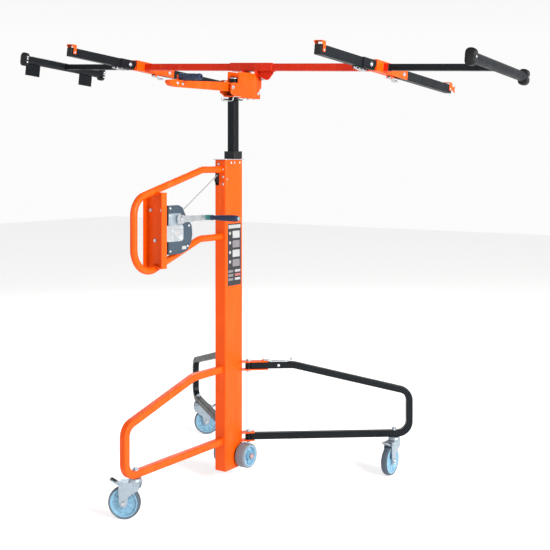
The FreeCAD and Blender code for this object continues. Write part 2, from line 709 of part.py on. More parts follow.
def tilt_lever():
    """The tapered lever that locks the cradle's tilt, on its cross pin."""
    outline = [(-28, 52), (-36, 60), (-80, 61), (-330, 50), (-412, 51), (-431, 46), (-434, 38), (-420, 26), (-390, 22),
               (-80, 24), (-36, 24), (-28, 32)]
    blade = sheet_metal([(-12, y, z) for y, z in outline], 24, X_AXIS, HEAD)
    pin = rod(5, 64, (-32, -44, 42), X_AXIS, HEAD)
    post = box(8, 20, 26, (-12, -362, 46), HEAD)
    bar = rod(6, 112, (-8, -352, 65), X_AXIS, HEAD)
    return join(blade, pin, post, bar)


def lever_grip():
    """The soft grip on the tilt lever's cross bar."""
    profile = [(6, -3), (12, -3), (13.4, 2), (13.4, 14), (12.2, 32), (12.2, 72), (13.4, 88), (13, 98), (10, 104),
               (6, 104)]
    return turned(profile, (0, -352, 65), HEAD)


# ---------------------------------------------------------------- cradle

def beam_sleeve():
    """The short channel that takes both beam halves, with its pivot ears and gusset."""
    half = size("sleeveLong") / 2
    outer_side = size("beamSide") + 5
    outer = box("dims.sleeveLong", "dims.beamSide + 5", "dims.beamSide + 5",
                (-half, BEAM_Y - outer_side / 2, BEAM_Z - outer_side / 2), CRADLE)
    room = box("dims.sleeveLong", "dims.beamSide", "dims.beamSide",
               (-half, BEAM_Y - size("beamSide") / 2, BEAM_Z - size("beamSide") / 2), CRADLE)
    under = BEAM_Z - outer_side / 2
    ears = []
    outline = [(-48, under), (-48, under - 8), (-14, -8), (-8, -14), (8, -14), (14, -8), (18, under)]
    for x in (-36, 31):
        ears.append(sheet_metal([(x, y, z) for y, z in outline], 5, X_AXIS, CRADLE))
    wing = sheet_metal([(36, BEAM_Y, under), (half, BEAM_Y, under), (half, BEAM_Y, under - 8),
                        (92, BEAM_Y, under - 34), (78, BEAM_Y, under - 38), (36, BEAM_Y, under - 22)],
                       4, Y_AXIS, CRADLE)
    pivot = rod(6.06, 100, (-50, 0, 0), X_AXIS, CRADLE)
    return cut(join(cut(outer, room), *ears, wing), pivot)


def beam_tubes():
    """The two beam halves, which meet inside the sleeve."""
    halves = []
    long = size("beamEnd") - 1
    clear = size("beamSide") - 2 * size("beamWall")
    for start in (-size("beamEnd"), 1):
        outer = box(long, "dims.beamSide", "dims.beamSide",
                    (start, BEAM_Y - size("beamSide") / 2, BEAM_Z - size("beamSide") / 2), CRADLE)
        inner = box(long, "dims.beamSide - 2 * dims.beamWall", "dims.beamSide - 2 * dims.beamWall",
                    (start, BEAM_Y - clear / 2, BEAM_Z - clear / 2), CRADLE)
        halves.append(cut(soften(outer, 3, CRADLE.Rotation.multVec(X_AXIS)), inner))
    return together(*halves)


NEAR_PIVOT = -112
FAR_PIVOT = 168
ARM_Z = BEAM_Z - size("armDrop")


def cross_pieces():
    """The orange cross-pieces: a tongue towards the operator, an open-bottomed channel away."""
    pieces = []
    tall = size("crossTall")
    half_wide = size("crossWide") / 2
    low = BEAM_Z - tall / 2
    beam_half = size("beamSide") / 2
    for side in (-1, 1):
        x = side * size("crossX")
        body = box("dims.crossWide", 132, "dims.crossTall", (x - half_wide, BEAM_Y - 66, low), CRADLE)
        tongue = box(17, 70, 26, (x - 8.5, BEAM_Y - 134, ARM_Z - 13), CRADLE)
        channel = box("dims.crossWide", 136, "dims.crossTall", (x - half_wide, BEAM_Y + 66, low), CRADLE)
        slot = box(size("armWide") + 1.2, 140, tall - 3, (x - size("armWide") / 2 - 0.6, BEAM_Y + 69, low), CRADLE)
        window = box(60, "dims.beamSide", "dims.beamSide", (x - 30, BEAM_Y - beam_half, BEAM_Z - beam_half), CRADLE)
        pins = [rod(4, 60, (x - 30, BEAM_Y + y, ARM_Z), X_AXIS, CRADLE) for y in (NEAR_PIVOT, FAR_PIVOT)]
        lugs = catch_lugs(x, BEAM_Y + 80, low)
        pieces.append(cut(join(body, tongue, channel, *lugs), slot, window, *pins))
    return together(*pieces)


def arm_bolts():
    """The pivot bolts of the four arms."""
    bolts = []
    for side in (-1, 1):
        x = side * size("crossX")
        reach = size("crossWide") / 2
        for y in (NEAR_PIVOT, FAR_PIVOT):
            shank = rod(4, 2 * reach + 1, (x - reach - 0.5, BEAM_Y + y, ARM_Z), X_AXIS, CRADLE)
            heads = [rod(7.5, 4, (x + start, BEAM_Y + y, ARM_Z), X_AXIS, CRADLE)
                     for start in (-reach - 4.5, reach + 0.5)]
            bolts.append(join(shank, *heads))
    return together(*bolts)


def near_arm(side):
    """An arm towards the operator: a flat tube on a clevis that straddles the tongue."""
    x = side * size("crossX")
    wide = size("armWide")
    tall = size("armTall")
    tip = BEAM_Y - size("armNear")
    root = BEAM_Y - 150
    tube = box("dims.armWide", root - tip, "dims.armTall", (x - wide / 2, tip, ARM_Z - tall / 2), CRADLE)
    hollow = box("dims.armWide - 2 * dims.armWall", root - tip - 3, "dims.armTall - 2 * dims.armWall",
                 (x - wide / 2 + size("armWall"), tip + 3, ARM_Z - tall / 2 + size("armWall")), CRADLE)
    clevis_low = ARM_Z - 20.5
    clevis = box("dims.crossWide", 104, 41, (x - size("crossWide") / 2, BEAM_Y - 172, clevis_low), CRADLE)
    throat = box(18.2, 90, 60, (x - 9.1, BEAM_Y - 139, clevis_low - 5), CRADLE)
    pocket = box("dims.armWide", 22, "dims.armTall", (x - wide / 2, BEAM_Y - 172, ARM_Z - tall / 2), CRADLE)
    heel = clevis_heel(x)
    bore = rod(4.06, 60, (x - 30, BEAM_Y + NEAR_PIVOT, ARM_Z), X_AXIS, CRADLE)
    hook_pin = rod(3, 60, (x - 30, tip + 16, ARM_Z), X_AXIS, CRADLE)
    lugs = catch_lugs(x, BEAM_Y - 198, ARM_Z - tall / 2)
    return cut(join(cut(tube, hollow), cut(clevis, pocket, throat, heel), *lugs), bore, hook_pin)


def catch_lugs(x, y, top):
    """Two small ears and a pin, welded under a tube, that carry a catch."""
    pieces = [rod(2, 23, (x - 11.5, y, top - 6), X_AXIS, CRADLE)]
    for start in (x - 11.5, x + 9):
        pieces.append(box(2.5, 10, 11, (start, y - 5, top - 11), CRADLE))
    return pieces


def clevis_heel(x):
    """The clevis' lower rear corner, cut away so that it swings clear of the cross-piece."""
    back = BEAM_Y - 68
    points = [(x - 22, back + 1, ARM_Z - 30), (x - 22, back + 1, ARM_Z + 30), (x - 22, back - 6, ARM_Z + 30),
              (x - 22, back - 6, ARM_Z + 2), (x - 22, back - 22, ARM_Z - 30)]
    return sheet_metal(points, 44, X_AXIS, CRADLE)


def far_arm(side):
    """An arm away from the operator: a flat tube that folds down out of the channel."""
    x = side * size("crossX")
    wide = size("armWide")
    tall = size("armTall")
    root = BEAM_Y + FAR_PIVOT
    tip = BEAM_Y + size("armFar")
    tube = box("dims.armWide", tip - root, "dims.armTall", (x - wide / 2, root, ARM_Z - tall / 2), CRADLE)
    round_root = rod(tall / 2, "dims.armWide", (x - wide / 2, root, ARM_Z), X_AXIS, CRADLE)
    hollow = box("dims.armWide - 2 * dims.armWall", tip - root - 23, "dims.armTall - 2 * dims.armWall",
                 (x - wide / 2 + size("armWall"), root + 20, ARM_Z - tall / 2 + size("armWall")), CRADLE)
    bore = rod(4.06, 60, (x - 30, BEAM_Y + FAR_PIVOT, ARM_Z), X_AXIS, CRADLE)
    hook_pin = rod(3, 60, (x - 30, tip - 16, ARM_Z), X_AXIS, CRADLE)
    return cut(cut(join(tube, round_root), hollow), bore, hook_pin)


def arm_hook(side, end):
    """The orange board hook on an arm's tip: cheeks, a top web and a forked nose."""
    x = side * size("crossX")
    wide = size("armWide") / 2 + 0.5
    if end == "near":
        tip = BEAM_Y - size("armNear")
        y = tip + 16
        cheek = [(y - 8, -7), (y + 8, -7), (y + 8, 33), (y - 19, 33), (y - 19, 26), (y - 8, 18)]
        web = box(2 * wide + 4, 27, 2.4, (x - wide - 2, y - 19, ARM_Z + 30.6), CRADLE)
    else:
        tip = BEAM_Y + size("armFar")
        y = tip - 16
        cheek = [(y - 8, -7), (y + 10, -7), (y + 24, -3), (y + 44, -12), (y + 52, -14), (y + 46, 2), (y + 52, 18),
                 (y + 44, 15), (y + 26, 10), (y + 16, 29), (y - 8, 29)]
        web = box(2 * wide + 4, 22, 2.4, (x - wide - 2, y - 6, ARM_Z + 26.6), CRADLE)
    cheeks = []
    for start in (x - wide - 2, x + wide):
        cheeks.append(sheet_metal([(start, v, ARM_Z + w) for v, w in cheek], 2, X_AXIS, CRADLE))
    pin = rod(2.94, 2 * wide + 8, (x - wide - 4, y, ARM_Z), X_AXIS, CRADLE)
    return join(*cheeks, web, pin)


def arm_catch(side, end):
    """The zinc-plated spring catch under an arm's root: an eye, a strip and a bent nose."""
    x = side * size("crossX")
    if end == "near":
        eye_y = BEAM_Y - 198
        eye_z = ARM_Z - size("armTall") / 2 - 6
        strip = [(0, 4.5), (9, 4.5), (20, -1), (32, -3), (46, 2), (58, -3), (67, 2), (69, -2), (58, -8), (46, -3),
                 (32, -8), (18, -5), (0, -4.5)]
    else:
        eye_y = BEAM_Y + 80
        eye_z = BEAM_Z - size("crossTall") / 2 - 6
        strip = [(0, 4.5), (8, 4.5), (17, -2), (30, -4), (42, -11), (52, -4), (63, -8), (63, -13), (52, -9),
                 (42, -16), (28, -9), (15, -6.5), (0, -4.5)]
    points = [(x - 8, eye_y + u, eye_z + v) for u, v in strip]
    eye = rod(4.5, 16, (x - 8, eye_y, eye_z), X_AXIS, CRADLE)
    bore = rod(2.06, 30, (x - 15, eye_y, eye_z), X_AXIS, CRADLE)
    return cut(join(sheet_metal(points, 16, X_AXIS, CRADLE), eye), bore)


def end_bar(side):
    """A telescoping extension with its cross bar; the left one carries two stop tabs."""
    reach = size("barRight") if side > 0 else size("barLeft")
    x = side * reach
    inner_end = side * (reach - 740)
    half = size("extSide") / 2
    clear = half - size("extWall")
    start = min(x, inner_end)
    outer = box(740, "dims.extSide", "dims.extSide", (start, BEAM_Y - half, BEAM_Z - half), CRADLE)
    hollow = box(740, 2 * clear, 2 * clear, (start, BEAM_Y - clear, BEAM_Z - clear), CRADLE)
    span = 2 * size("barHalf")
    bar = rod("dims.barRadius", span, (x, BEAM_Y - span / 2, BEAM_Z), Y_AXIS, CRADLE)
    bore = rod("dims.barRadius - 2", span, (x, BEAM_Y - span / 2, BEAM_Z), Y_AXIS, CRADLE)
    pieces = [cut(outer, hollow, bore_block(x, side)), bar]
    if side < 0:
        for y in (-205, 150):
            pieces.append(box(4, 88, 56, (x - 2, BEAM_Y + y - 44, BEAM_Z - 74), CRADLE))
    return cut(join(*pieces), bore)


def bore_block(x, side):
    """The part of the extension that would reach past the cross bar's axis."""
    return box(60, 60, 60, (x if side > 0 else x - 60, BEAM_Y - 30, BEAM_Z - 30), CRADLE)


def bumper_caps(side):
    """The two rounded, tall end caps of a cross bar."""
    x = side * (size("barRight") if side > 0 else size("barLeft"))
    caps = []
    for end in (-1, 1):
        y = BEAM_Y + end * size("barHalf")
        start = y if end > 0 else y - 24
        slab = soften(box(42, 24, 64, (x - 21, start, BEAM_Z - 32), CRADLE), 18, CRADLE.Rotation.multVec(Y_AXIS))
        caps.append(slab)
    return together(*caps)


# ---------------------------------------------------------------- the whole lift

def build():
    node("mast_tube", mast_tube())
    node("mast_cap_plate", mast_cap_plate())
    node("mast_guide_block", mast_guide_block())
    node("mast_pulley", mast_pulley())
    node("frame_axles", frame_axles())
    node("truck_wheel_left", truck_wheel(-1))
    node("truck_wheel_right", truck_wheel(1))
    node("stage_2_tube", square_stage("stageTwoSide", "stageTwoWall", size("stageTwoFoot"), size("stageTwoTop")))
    node("stage_2_guides", stage_two_guides())
    stage_three_top = size("headBase") - 14
    node("stage_3_tube", square_stage("stageThreeSide", "stageThreeWall", size("stageThreeFoot"), stage_three_top))
    node("swivel_spindle", swivel_spindle())
    node("front_leg", front_leg())
    node("leg_hinge_brackets", leg_hinge_brackets())
    node("frame_bolts", frame_bolts())
    for side, word in ((-1, "left"), (1, "right")):
        node("leg_" + word, folding_leg(side))
        node("leg_lock_" + word, leg_lock(side))
    for name in ("front", "left", "right"):
        node("caster_fork_" + name, caster_fork(name))
        node("caster_wheel_" + name, caster_wheel(name))
        node("caster_pedal_" + name, caster_pedal(name))
    node("winch_hoop", winch_hoop())
    node("winch_channel", winch_channel())
    node("winch_frame", winch_frame())
    node("winch_bolts", winch_bolts())
    node("winch_cover", winch_cover())
    node("winch_drum", winch_drum())
    node("winch_crank", winch_crank())
    node("crank_grip", crank_grip())
    node("winch_cable", winch_cable())
    node("head_bracket", head_bracket())
    node("tilt_pivot_bolt", tilt_pivot_bolt())
    node("tilt_lever", tilt_lever())
    node("lever_grip", lever_grip())
    node("beam_sleeve", beam_sleeve())
    node("beam_tubes", beam_tubes())
    node("cross_pieces", cross_pieces())
    node("arm_bolts", arm_bolts())
    for side, word in ((-1, "left"), (1, "right")):
        node("end_bar_" + word, end_bar(side))
        node("bumper_caps_" + word, bumper_caps(side))
        node("arm_near_" + word, near_arm(side))
        node("arm_far_" + word, far_arm(side))
        for end in ("near", "far"):
            node("hook_%s_%s" % (end, word), arm_hook(side, end))
            node("catch_%s_%s" % (end, word), arm_catch(side, end))


def write_parts():
    doc.recompute()
    for item in doc.Objects:
        if "Invalid" in item.State or "Error" in item.State:
            raise RuntimeError("%s failed: %s" % (item.Label, item.State))
    for piece in NODES:
        shape = piece.Shape
        if shape.isNull() or not shape.isValid() or not shape.Solids:
            raise RuntimeError("%s has no valid solid" % piece.Label)
    os.makedirs("parts", exist_ok=True)
    for piece in NODES:
        piece.Shape.exportStep("parts/%s.step" % piece.Label)


build()
write_parts()
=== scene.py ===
# The drywall lift's looks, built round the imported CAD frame. Metres, in the CAD's own frame.
import math
import bpy
from mathutils import Matrix, Vector


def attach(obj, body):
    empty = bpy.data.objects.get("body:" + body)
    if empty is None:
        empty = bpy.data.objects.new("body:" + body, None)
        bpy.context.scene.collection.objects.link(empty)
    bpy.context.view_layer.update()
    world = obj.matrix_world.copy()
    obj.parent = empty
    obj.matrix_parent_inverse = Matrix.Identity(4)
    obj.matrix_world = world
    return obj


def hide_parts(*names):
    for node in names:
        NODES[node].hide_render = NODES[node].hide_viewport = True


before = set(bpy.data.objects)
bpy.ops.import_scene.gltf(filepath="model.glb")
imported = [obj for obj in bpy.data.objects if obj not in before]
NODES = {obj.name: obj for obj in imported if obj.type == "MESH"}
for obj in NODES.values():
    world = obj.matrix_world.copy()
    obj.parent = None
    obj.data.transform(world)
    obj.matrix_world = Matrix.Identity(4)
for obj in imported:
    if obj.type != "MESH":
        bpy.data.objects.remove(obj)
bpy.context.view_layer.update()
MM = 0.001

# Driving sizes repeated from the CAD, in millimetres.
HINGE_X, HINGE_Y = 46, 79
LEG_ANGLE = 38.3
STEM_REACH = 630
HEAD_AT = (0, 31, 1618)
HEAD_LEAN = 3.0
CRADLE_TILT = 4.1
PIVOT = (0, 148, 97)
BEAM_Y, BEAM_Z = -20, 40
ARM_Z = 36
CROSS_X = 635
NEAR_PIVOT_Y, FAR_PIVOT_Y = BEAM_Y - 112, BEAM_Y + 168
ARM_TIP_Y = {"near": BEAM_Y - 480, "far": BEAM_Y + 650}
CATCH_PIN = {"near": (BEAM_Y - 198, ARM_Z - 25), "far": (BEAM_Y + 80, BEAM_Z - 29)}
BAR_HALF = 250
BAR_REACH = {"left": 1165, "right": 1135}
MAST_HALF_X, MAST_HALF_Y = 28, 60
HINGE_HEIGHTS = (170, 472)
LOCK_TOP = 486
AXLE_TRAIL, AXLE_HEIGHT = 41, 62.5
TRUCK_X, TRUCK_Y, TRUCK_Z = 57, 45, 97
DRUM_Y, DRUM_Z = -385, 1048
CRANK_Y, CRANK_Z = -385, 1120
GRIP_Y = -222
COVER_X = 46

SIDES = ("left", "right")
ENDS = ("near", "far")
CASTERS = ("front", "left", "right")


# ---------------------------------------------------------------- places

def shift(x, y, z):
    return Matrix.Translation(Vector((x, y, z)))


def turn(degrees, axis):
    return Matrix.Rotation(math.radians(degrees), 4, axis)


ALONG_X = turn(90, "Y")
ALONG_Y = turn(-90, "X")


def sideways(sign):
    """Local +Z along X, towards the side that sign gives."""
    return ALONG_X if sign > 0 else turn(-90, "Y")


def lengthways(sign):
    """Local +Z along Y, towards the side that sign gives."""
    return ALONG_Y if sign > 0 else turn(90, "X")


HEAD = shift(*HEAD_AT) @ turn(HEAD_LEAN, "Y")
CRADLE = HEAD @ shift(*PIVOT) @ turn(-CRADLE_TILT, "X")


def word_for(side):
    """The word for a side given as 1 or -1."""
    return "right" if side > 0 else "left"


def leg_place(side):
    """The hinge of one rear leg, with local X along the leg."""
    angle = LEG_ANGLE if side > 0 else 180 - LEG_ANGLE
    return shift(side * HINGE_X, HINGE_Y, 0) @ turn(angle, "Z")


def caster_place(name):
    """A caster's swivel axis at the floor, with local X along its trail."""
    if name == "front":
        return shift(0, -584, 0) @ turn(-153, "Z")
    side = 1 if name == "right" else -1
    stem = leg_place(side) @ Vector((STEM_REACH, 0, 0))
    return shift(*stem) @ turn(-88 if side > 0 else 34, "Z")


# ---------------------------------------------------------------- materials

class Graph:
    """A short way to write a material's nodes."""

    def __init__(self, name):
        self.material = bpy.data.materials.new(name)
        self.material.use_nodes = True
        self.tree = self.material.node_tree
        self.shader = self.tree.nodes["Principled BSDF"]
        self.place = self.node("ShaderNodeTexCoord").outputs["Object"]

    def node(self, kind, **settings):
        made = self.tree.nodes.new(kind)
        for key, value in settings.items():
            setattr(made, key, value)
        return made

    def link(self, source, target):
        self.tree.links.new(source, target)
        return target

    def noise(self, scale, detail=3.0, rough=0.5, stretch=None):
        made = self.node("ShaderNodeTexNoise")
        made.inputs["Scale"].default_value = scale
        made.inputs["Detail"].default_value = detail
        made.inputs["Roughness"].default_value = rough
        if stretch:
            mapping = self.node("ShaderNodeMapping")
            mapping.inputs["Scale"].default_value = stretch
            self.link(self.place, mapping.inputs["Vector"])
            self.link(mapping.outputs["Vector"], made.inputs["Vector"])
        else:
            self.link(self.place, made.inputs["Vector"])
        return made.outputs["Fac"]

    def cells(self, scale):
        made = self.node("ShaderNodeTexVoronoi")
        made.inputs["Scale"].default_value = scale
        self.link(self.place, made.inputs["Vector"])
        return made

    def spread(self, value, low, high, out_low=0.0, out_high=1.0):
        made = self.node("ShaderNodeMapRange")
        self.link(value, made.inputs["Value"])
        for key, number in (("From Min", low), ("From Max", high), ("To Min", out_low), ("To Max", out_high)):
            made.inputs[key].default_value = number
        return made.outputs["Result"]

    def times(self, first, second):
        made = self.node("ShaderNodeMath", operation="MULTIPLY")
        self.link(first, made.inputs[0])
        if isinstance(second, (int, float)):
            made.inputs[1].default_value = second
        else:
            self.link(second, made.inputs[1])
        return made.outputs["Value"]

    def mix(self, amount, first, second):
        made = self.node("ShaderNodeMix", data_type="RGBA")
        self.link(amount, made.inputs["Factor"])
        for socket, colour in ((made.inputs[6], first), (made.inputs[7], second)):
            if isinstance(colour, tuple):
                socket.default_value = (*colour, 1.0)
            else:
                self.link(colour, socket)
        return made.outputs[2]

    def bump(self, height, strength, distance, soft_edge=0.0):
        made = self.node("ShaderNodeBump")
        made.inputs["Strength"].default_value = strength
        made.inputs["Distance"].default_value = distance
        self.link(height, made.inputs["Height"])
        if soft_edge:
            edge = self.node("ShaderNodeBevel", samples=4)
            edge.inputs["Radius"].default_value = soft_edge
            self.link(edge.outputs["Normal"], made.inputs["Normal"])
        self.link(made.outputs["Normal"], self.shader.inputs["Normal"])
        return made

    def worn_edge(self, radius, low, high):
        """Where an edge is sharp: the bent normal of a wide bevel against the true one."""
        edge = self.node("ShaderNodeBevel", samples=4)
        edge.inputs["Radius"].default_value = radius
        true = self.node("ShaderNodeNewGeometry")
        dot = self.node("ShaderNodeVectorMath", operation="DOT_PRODUCT")
        self.link(edge.outputs["Normal"], dot.inputs[0])
        self.link(true.outputs["Normal"], dot.inputs[1])
        return self.spread(dot.outputs["Value"], high, low)

    def set(self, **values):
        names = {"metallic": "Metallic", "rough": "Roughness", "coat": "Coat Weight",
                 "coat_rough": "Coat Roughness", "gloss": "Specular IOR Level"}
        for key, value in values.items():
            self.shader.inputs[names[key]].default_value = value


def scaled(colour, factor):
    return tuple(min(1.0, channel * factor) for channel in colour)


def powder_coat(name, colour, rough, coat, scuff_colour, gloss=0.5):
    """Powder-coated steel: orange peel, slow colour drift, dust and a few worn edges."""
    g = Graph(name)
    drift = g.spread(g.noise(7, 4), 0.3, 0.7)
    base = g.mix(drift, scaled(colour, 0.94), scaled(colour, 1.05))
    streaks = g.spread(g.noise(30, 6, 0.65, (1.0, 1.0, 0.12)), 0.52, 0.78, 0.0, 0.16)
    dusty = g.mix(streaks, base, scuff_colour)
    rub = g.times(g.worn_edge(0.0016, 0.82, 0.985), g.spread(g.noise(55, 8, 0.7), 0.46, 0.62))
    g.link(g.mix(g.times(rub, 0.5), dusty, scuff_colour), g.shader.inputs["Base Color"])
    g.link(g.spread(g.noise(24, 5), 0.3, 0.7, rough - 0.05, rough + 0.1), g.shader.inputs["Roughness"])
    g.bump(g.noise(420, 2), 0.10, 0.0005, 0.0009)
    g.set(coat=coat, coat_rough=0.12, gloss=gloss)
    return g.material


def zinc_plate(name, colour, rough):
    """Bright zinc plating: faint spangle, drawing marks and dull patches."""
    g = Graph(name)
    spangle = g.cells(160)
    tone = g.spread(spangle.outputs["Distance"], 0.0, 0.8)
    base = g.mix(tone, scaled(colour, 0.9), scaled(colour, 1.08))
    dull = g.spread(g.noise(40, 6, 0.6), 0.45, 0.7, 0.0, 0.35)
    g.link(g.mix(dull, base, scaled(colour, 0.68)), g.shader.inputs["Base Color"])
    g.link(g.spread(g.noise(90, 6, 0.6, (1.0, 1.0, 0.1)), 0.3, 0.7, rough - 0.08, rough + 0.14),
           g.shader.inputs["Roughness"])
    g.bump(g.noise(600, 3, 0.6, (1.0, 1.0, 0.15)), 0.08, 0.0003, 0.0007)
    g.set(metallic=0.9)
    return g.material


def moulded(name, colour, rough, grain=700, depth=0.12, coat=0.0, gloss=0.4):
    """Moulded plastic or rubber: a fine spark-eroded grain and handling marks."""
    g = Graph(name)
    worn = g.spread(g.noise(45, 7, 0.65), 0.45, 0.72, 0.0, 0.5)
    g.link(g.mix(worn, colour, scaled(colour, 1.35)), g.shader.inputs["Base Color"])
    g.link(g.spread(g.noise(60, 5), 0.3, 0.7, rough - 0.06, rough + 0.12), g.shader.inputs["Roughness"])
    g.bump(g.cells(grain).outputs["Distance"], depth, 0.0004, 0.0006)
    g.set(coat=coat, coat_rough=0.15, gloss=gloss)
    return g.material


def stranded(name, colour):
    """Galvanised wire rope: the lay of its strands runs round it."""
    g = Graph(name)
    wave = g.node("ShaderNodeTexWave", wave_type="BANDS", bands_direction="DIAGONAL")
    wave.inputs["Scale"].default_value = 150
    wave.inputs["Distortion"].default_value = 0.6
    g.link(g.place, wave.inputs["Vector"])
    lay = g.mix(wave.outputs["Fac"], scaled(colour, 0.86), scaled(colour, 1.04))
    g.link(lay, g.shader.inputs["Base Color"])
    g.link(g.spread(g.noise(120, 4), 0.3, 0.7, 0.32, 0.5), g.shader.inputs["Roughness"])
    g.bump(wave.outputs["Fac"], 0.3, 0.0004)
    g.set(metallic=0.55)
    return g.material


ORANGE = powder_coat("orange_paint", (0.69, 0.070, 0.0002), 0.40, 0.03, (0.80, 0.26, 0.08), 0.15)
DEEP_ORANGE = powder_coat("deep_orange_paint", (0.48, 0.016, 0.0008), 0.44, 0.02, (0.64, 0.16, 0.06), 0.14)
BLACK = powder_coat("black_paint", (0.0020, 0.0042, 0.0062), 0.34, 0.04, (0.024, 0.028, 0.032), 0.14)
CHARCOAL = powder_coat("charcoal_paint", (0.0035, 0.0052, 0.0075), 0.42, 0.02, (0.030, 0.034, 0.038), 0.14)
SLATE = moulded("slate_cover", (0.028, 0.046, 0.068), 0.42, 900, 0.10, 0.05, 0.35)
ZINC = zinc_plate("zinc", (0.50, 0.53, 0.56), 0.38)
FORK = zinc_plate("fork_zinc", (0.36, 0.43, 0.49), 0.44)
BLACK_PLASTIC = moulded("black_plastic", (0.0060, 0.0065, 0.0075), 0.45, gloss=0.25)
NAVY_GRIP = moulded("navy_grip", (0.011, 0.024, 0.058), 0.42, 1100, 0.16, gloss=0.3)
TEAL = moulded("teal_plastic", (0.022, 0.170, 0.175), 0.38)
LIGHT_DOT = moulded("light_plastic", (0.56, 0.64, 0.72), 0.4)
TYRE = moulded("tyre", (0.050, 0.070, 0.095), 0.55, 500, 0.18, gloss=0.3)
# Pale blue-grey for the beads round each caster tyre's sidewall: a raised ring whose colour is painted
# highlight.
TYRE_HIGHLIGHT_RING = moulded("tyre_highlight_ring", (0.30, 0.37, 0.44), 0.5)
TRUCK_TYRE = moulded("truck_tyre", (0.150, 0.185, 0.220), 0.58, 500, 0.18)
DISC = moulded("blue_disc", (0.165, 0.325, 0.450), 0.36, 800, 0.08, 0.1)
DISC_HUB = moulded("disc_hub", (0.070, 0.180, 0.270), 0.42)
ROPE = stranded("wire_rope", (0.40, 0.42, 0.44))
LABEL = moulded("label_dark", (0.012, 0.013, 0.018), 0.3, 1500, 0.03, 0.3, 0.3)
LABEL_LIGHT = moulded("label_light", (0.30, 0.30, 0.31), 0.32, 1500, 0.03, 0.3)
LABEL_GREY = moulded("label_grey", (0.14, 0.13, 0.14), 0.32, 1500, 0.03, 0.3)
LABEL_WARM = moulded("label_warm", (0.30, 0.085, 0.075), 0.32, 1500, 0.03, 0.3)


# ---------------------------------------------------------------- mesh building

class Piece:
    """Collects parts given in millimetres, then makes one mesh object in metres."""

    def __init__(self):
        self.points = []
        self.faces = []
        self.paint = []
        self.materials = []

    def add(self, points, faces, place, material):
        if material not in self.materials:
            self.materials.append(material)
        base = len(self.points)
        self.points += [(place @ Vector(point)) * MM for point in points]
        self.faces += [[base + index for index in face] for face in faces]
        self.paint += [self.materials.index(material)] * len(faces)

    def lathe(self, profile, place, material, steps=40):
        """Turns a profile of (radius, height) about local Z. A radius of 0 is a point on the axis."""
        rings = []
        points = []
        for radius, height in profile:
            if radius == 0:
                rings.append([len(points)] * steps)
                points.append((0, 0, height))
                continue
            rings.append(list(range(len(points), len(points) + steps)))
            for index in range(steps):
                angle = 2 * math.pi * index / steps
                points.append((radius * math.cos(angle), radius * math.sin(angle), height))
        faces = []
        for lower, upper in zip(rings, rings[1:]):
            for index in range(steps):
                after = (index + 1) % steps
                face = [lower[index], lower[after], upper[after], upper[index]]
                face = [corner for spot, corner in enumerate(face) if corner not in face[:spot]]
                if len(face) > 2:
                    faces.append(face)
        self.add(points, faces, place, material)

    def slab(self, outline, low, high, place, material, ease=0.4):
        """An outline in local XY, pushed from low to high, with eased rims."""
        centre = Vector((sum(x for x, y in outline), sum(y for x, y in outline))) / len(outline)
        levels = [(low, ease), (low + ease, 0), (high - ease, 0), (high, ease)]
        points = []
        count = len(outline)
        for height, inset in levels:
            for x, y in outline:
                away = Vector((x, y)) - centre
                away = away * (1 - inset / max(away.length, 0.01))
                points.append((centre.x + away.x, centre.y + away.y, height))
        faces = [list(range(count))[::-1], [3 * count + index for index in range(count)]]
        for level in range(3):
            for index in range(count):
                after = (index + 1) % count
                start = level * count
                faces.append([start + index, start + after, start + count + after, start + count + index])
        self.add(points, faces, place, material)

    def sweep(self, path, radius, place, material, steps=10, closed=False):
        """A round bead along a path; radius is a number or a function of the point's index."""
        path = [Vector(point) for point in path]
        count = len(path)
        points = []
        side = None
        for index, spot in enumerate(path):
            before = path[index - 1] if index or closed else spot
            after = path[(index + 1) % count] if index < count - 1 or closed else spot
            heading = (after - before).normalized()
            if side is None:
                side = heading.orthogonal().normalized()
            side = (side - heading * side.dot(heading)).normalized()
            other = heading.cross(side)
            size = radius(index) if callable(radius) else radius
            for step in range(steps):
                angle = 2 * math.pi * step / steps
                points.append(spot + side * (size * math.cos(angle)) + other * (size * math.sin(angle)))
        faces = []
        for index in range(count if closed else count - 1):
            start = index * steps
            ahead = ((index + 1) % count) * steps
            for step in range(steps):
                after = (step + 1) % steps
                faces.append([start + step, start + after, ahead + after, ahead + step])
        if not closed:
            faces.append(list(range(steps))[::-1])
            faces.append([(count - 1) * steps + step for step in range(steps)])
        self.add(points, faces, place, material)

    def done(self, name, body, angle=35):
        mesh = bpy.data.meshes.new(name)
        mesh.from_pydata([tuple(point) for point in self.points], [], self.faces)
        for material in self.materials:
            mesh.materials.append(material)
        mesh.polygons.foreach_set("material_index", self.paint)
        mesh.polygons.foreach_set("use_smooth", [True] * len(mesh.polygons))
        mesh.update()
        mesh.set_sharp_from_angle(angle=math.radians(angle))
        made = bpy.data.objects.new(name, mesh)
        bpy.context.scene.collection.objects.link(made)
        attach(made, body)
        return made


def ring_path(radius, place, steps=40):
    """The points of a circle in local XY."""
    points = []
    for step in range(steps):
        angle = 2 * math.pi * step / steps
        points.append(place @ Vector((radius * math.cos(angle), radius * math.sin(angle), 0)))
    return points


def closed_run(corners, steps):
    """Evenly spaced points along the straight stretches between corners, and back to the first."""
    run = []
    for before, after in zip(corners, corners[1:] + corners[:1]):
        for step in range(steps):
            run.append(Vector(before).lerp(Vector(after), step / steps))
    return run


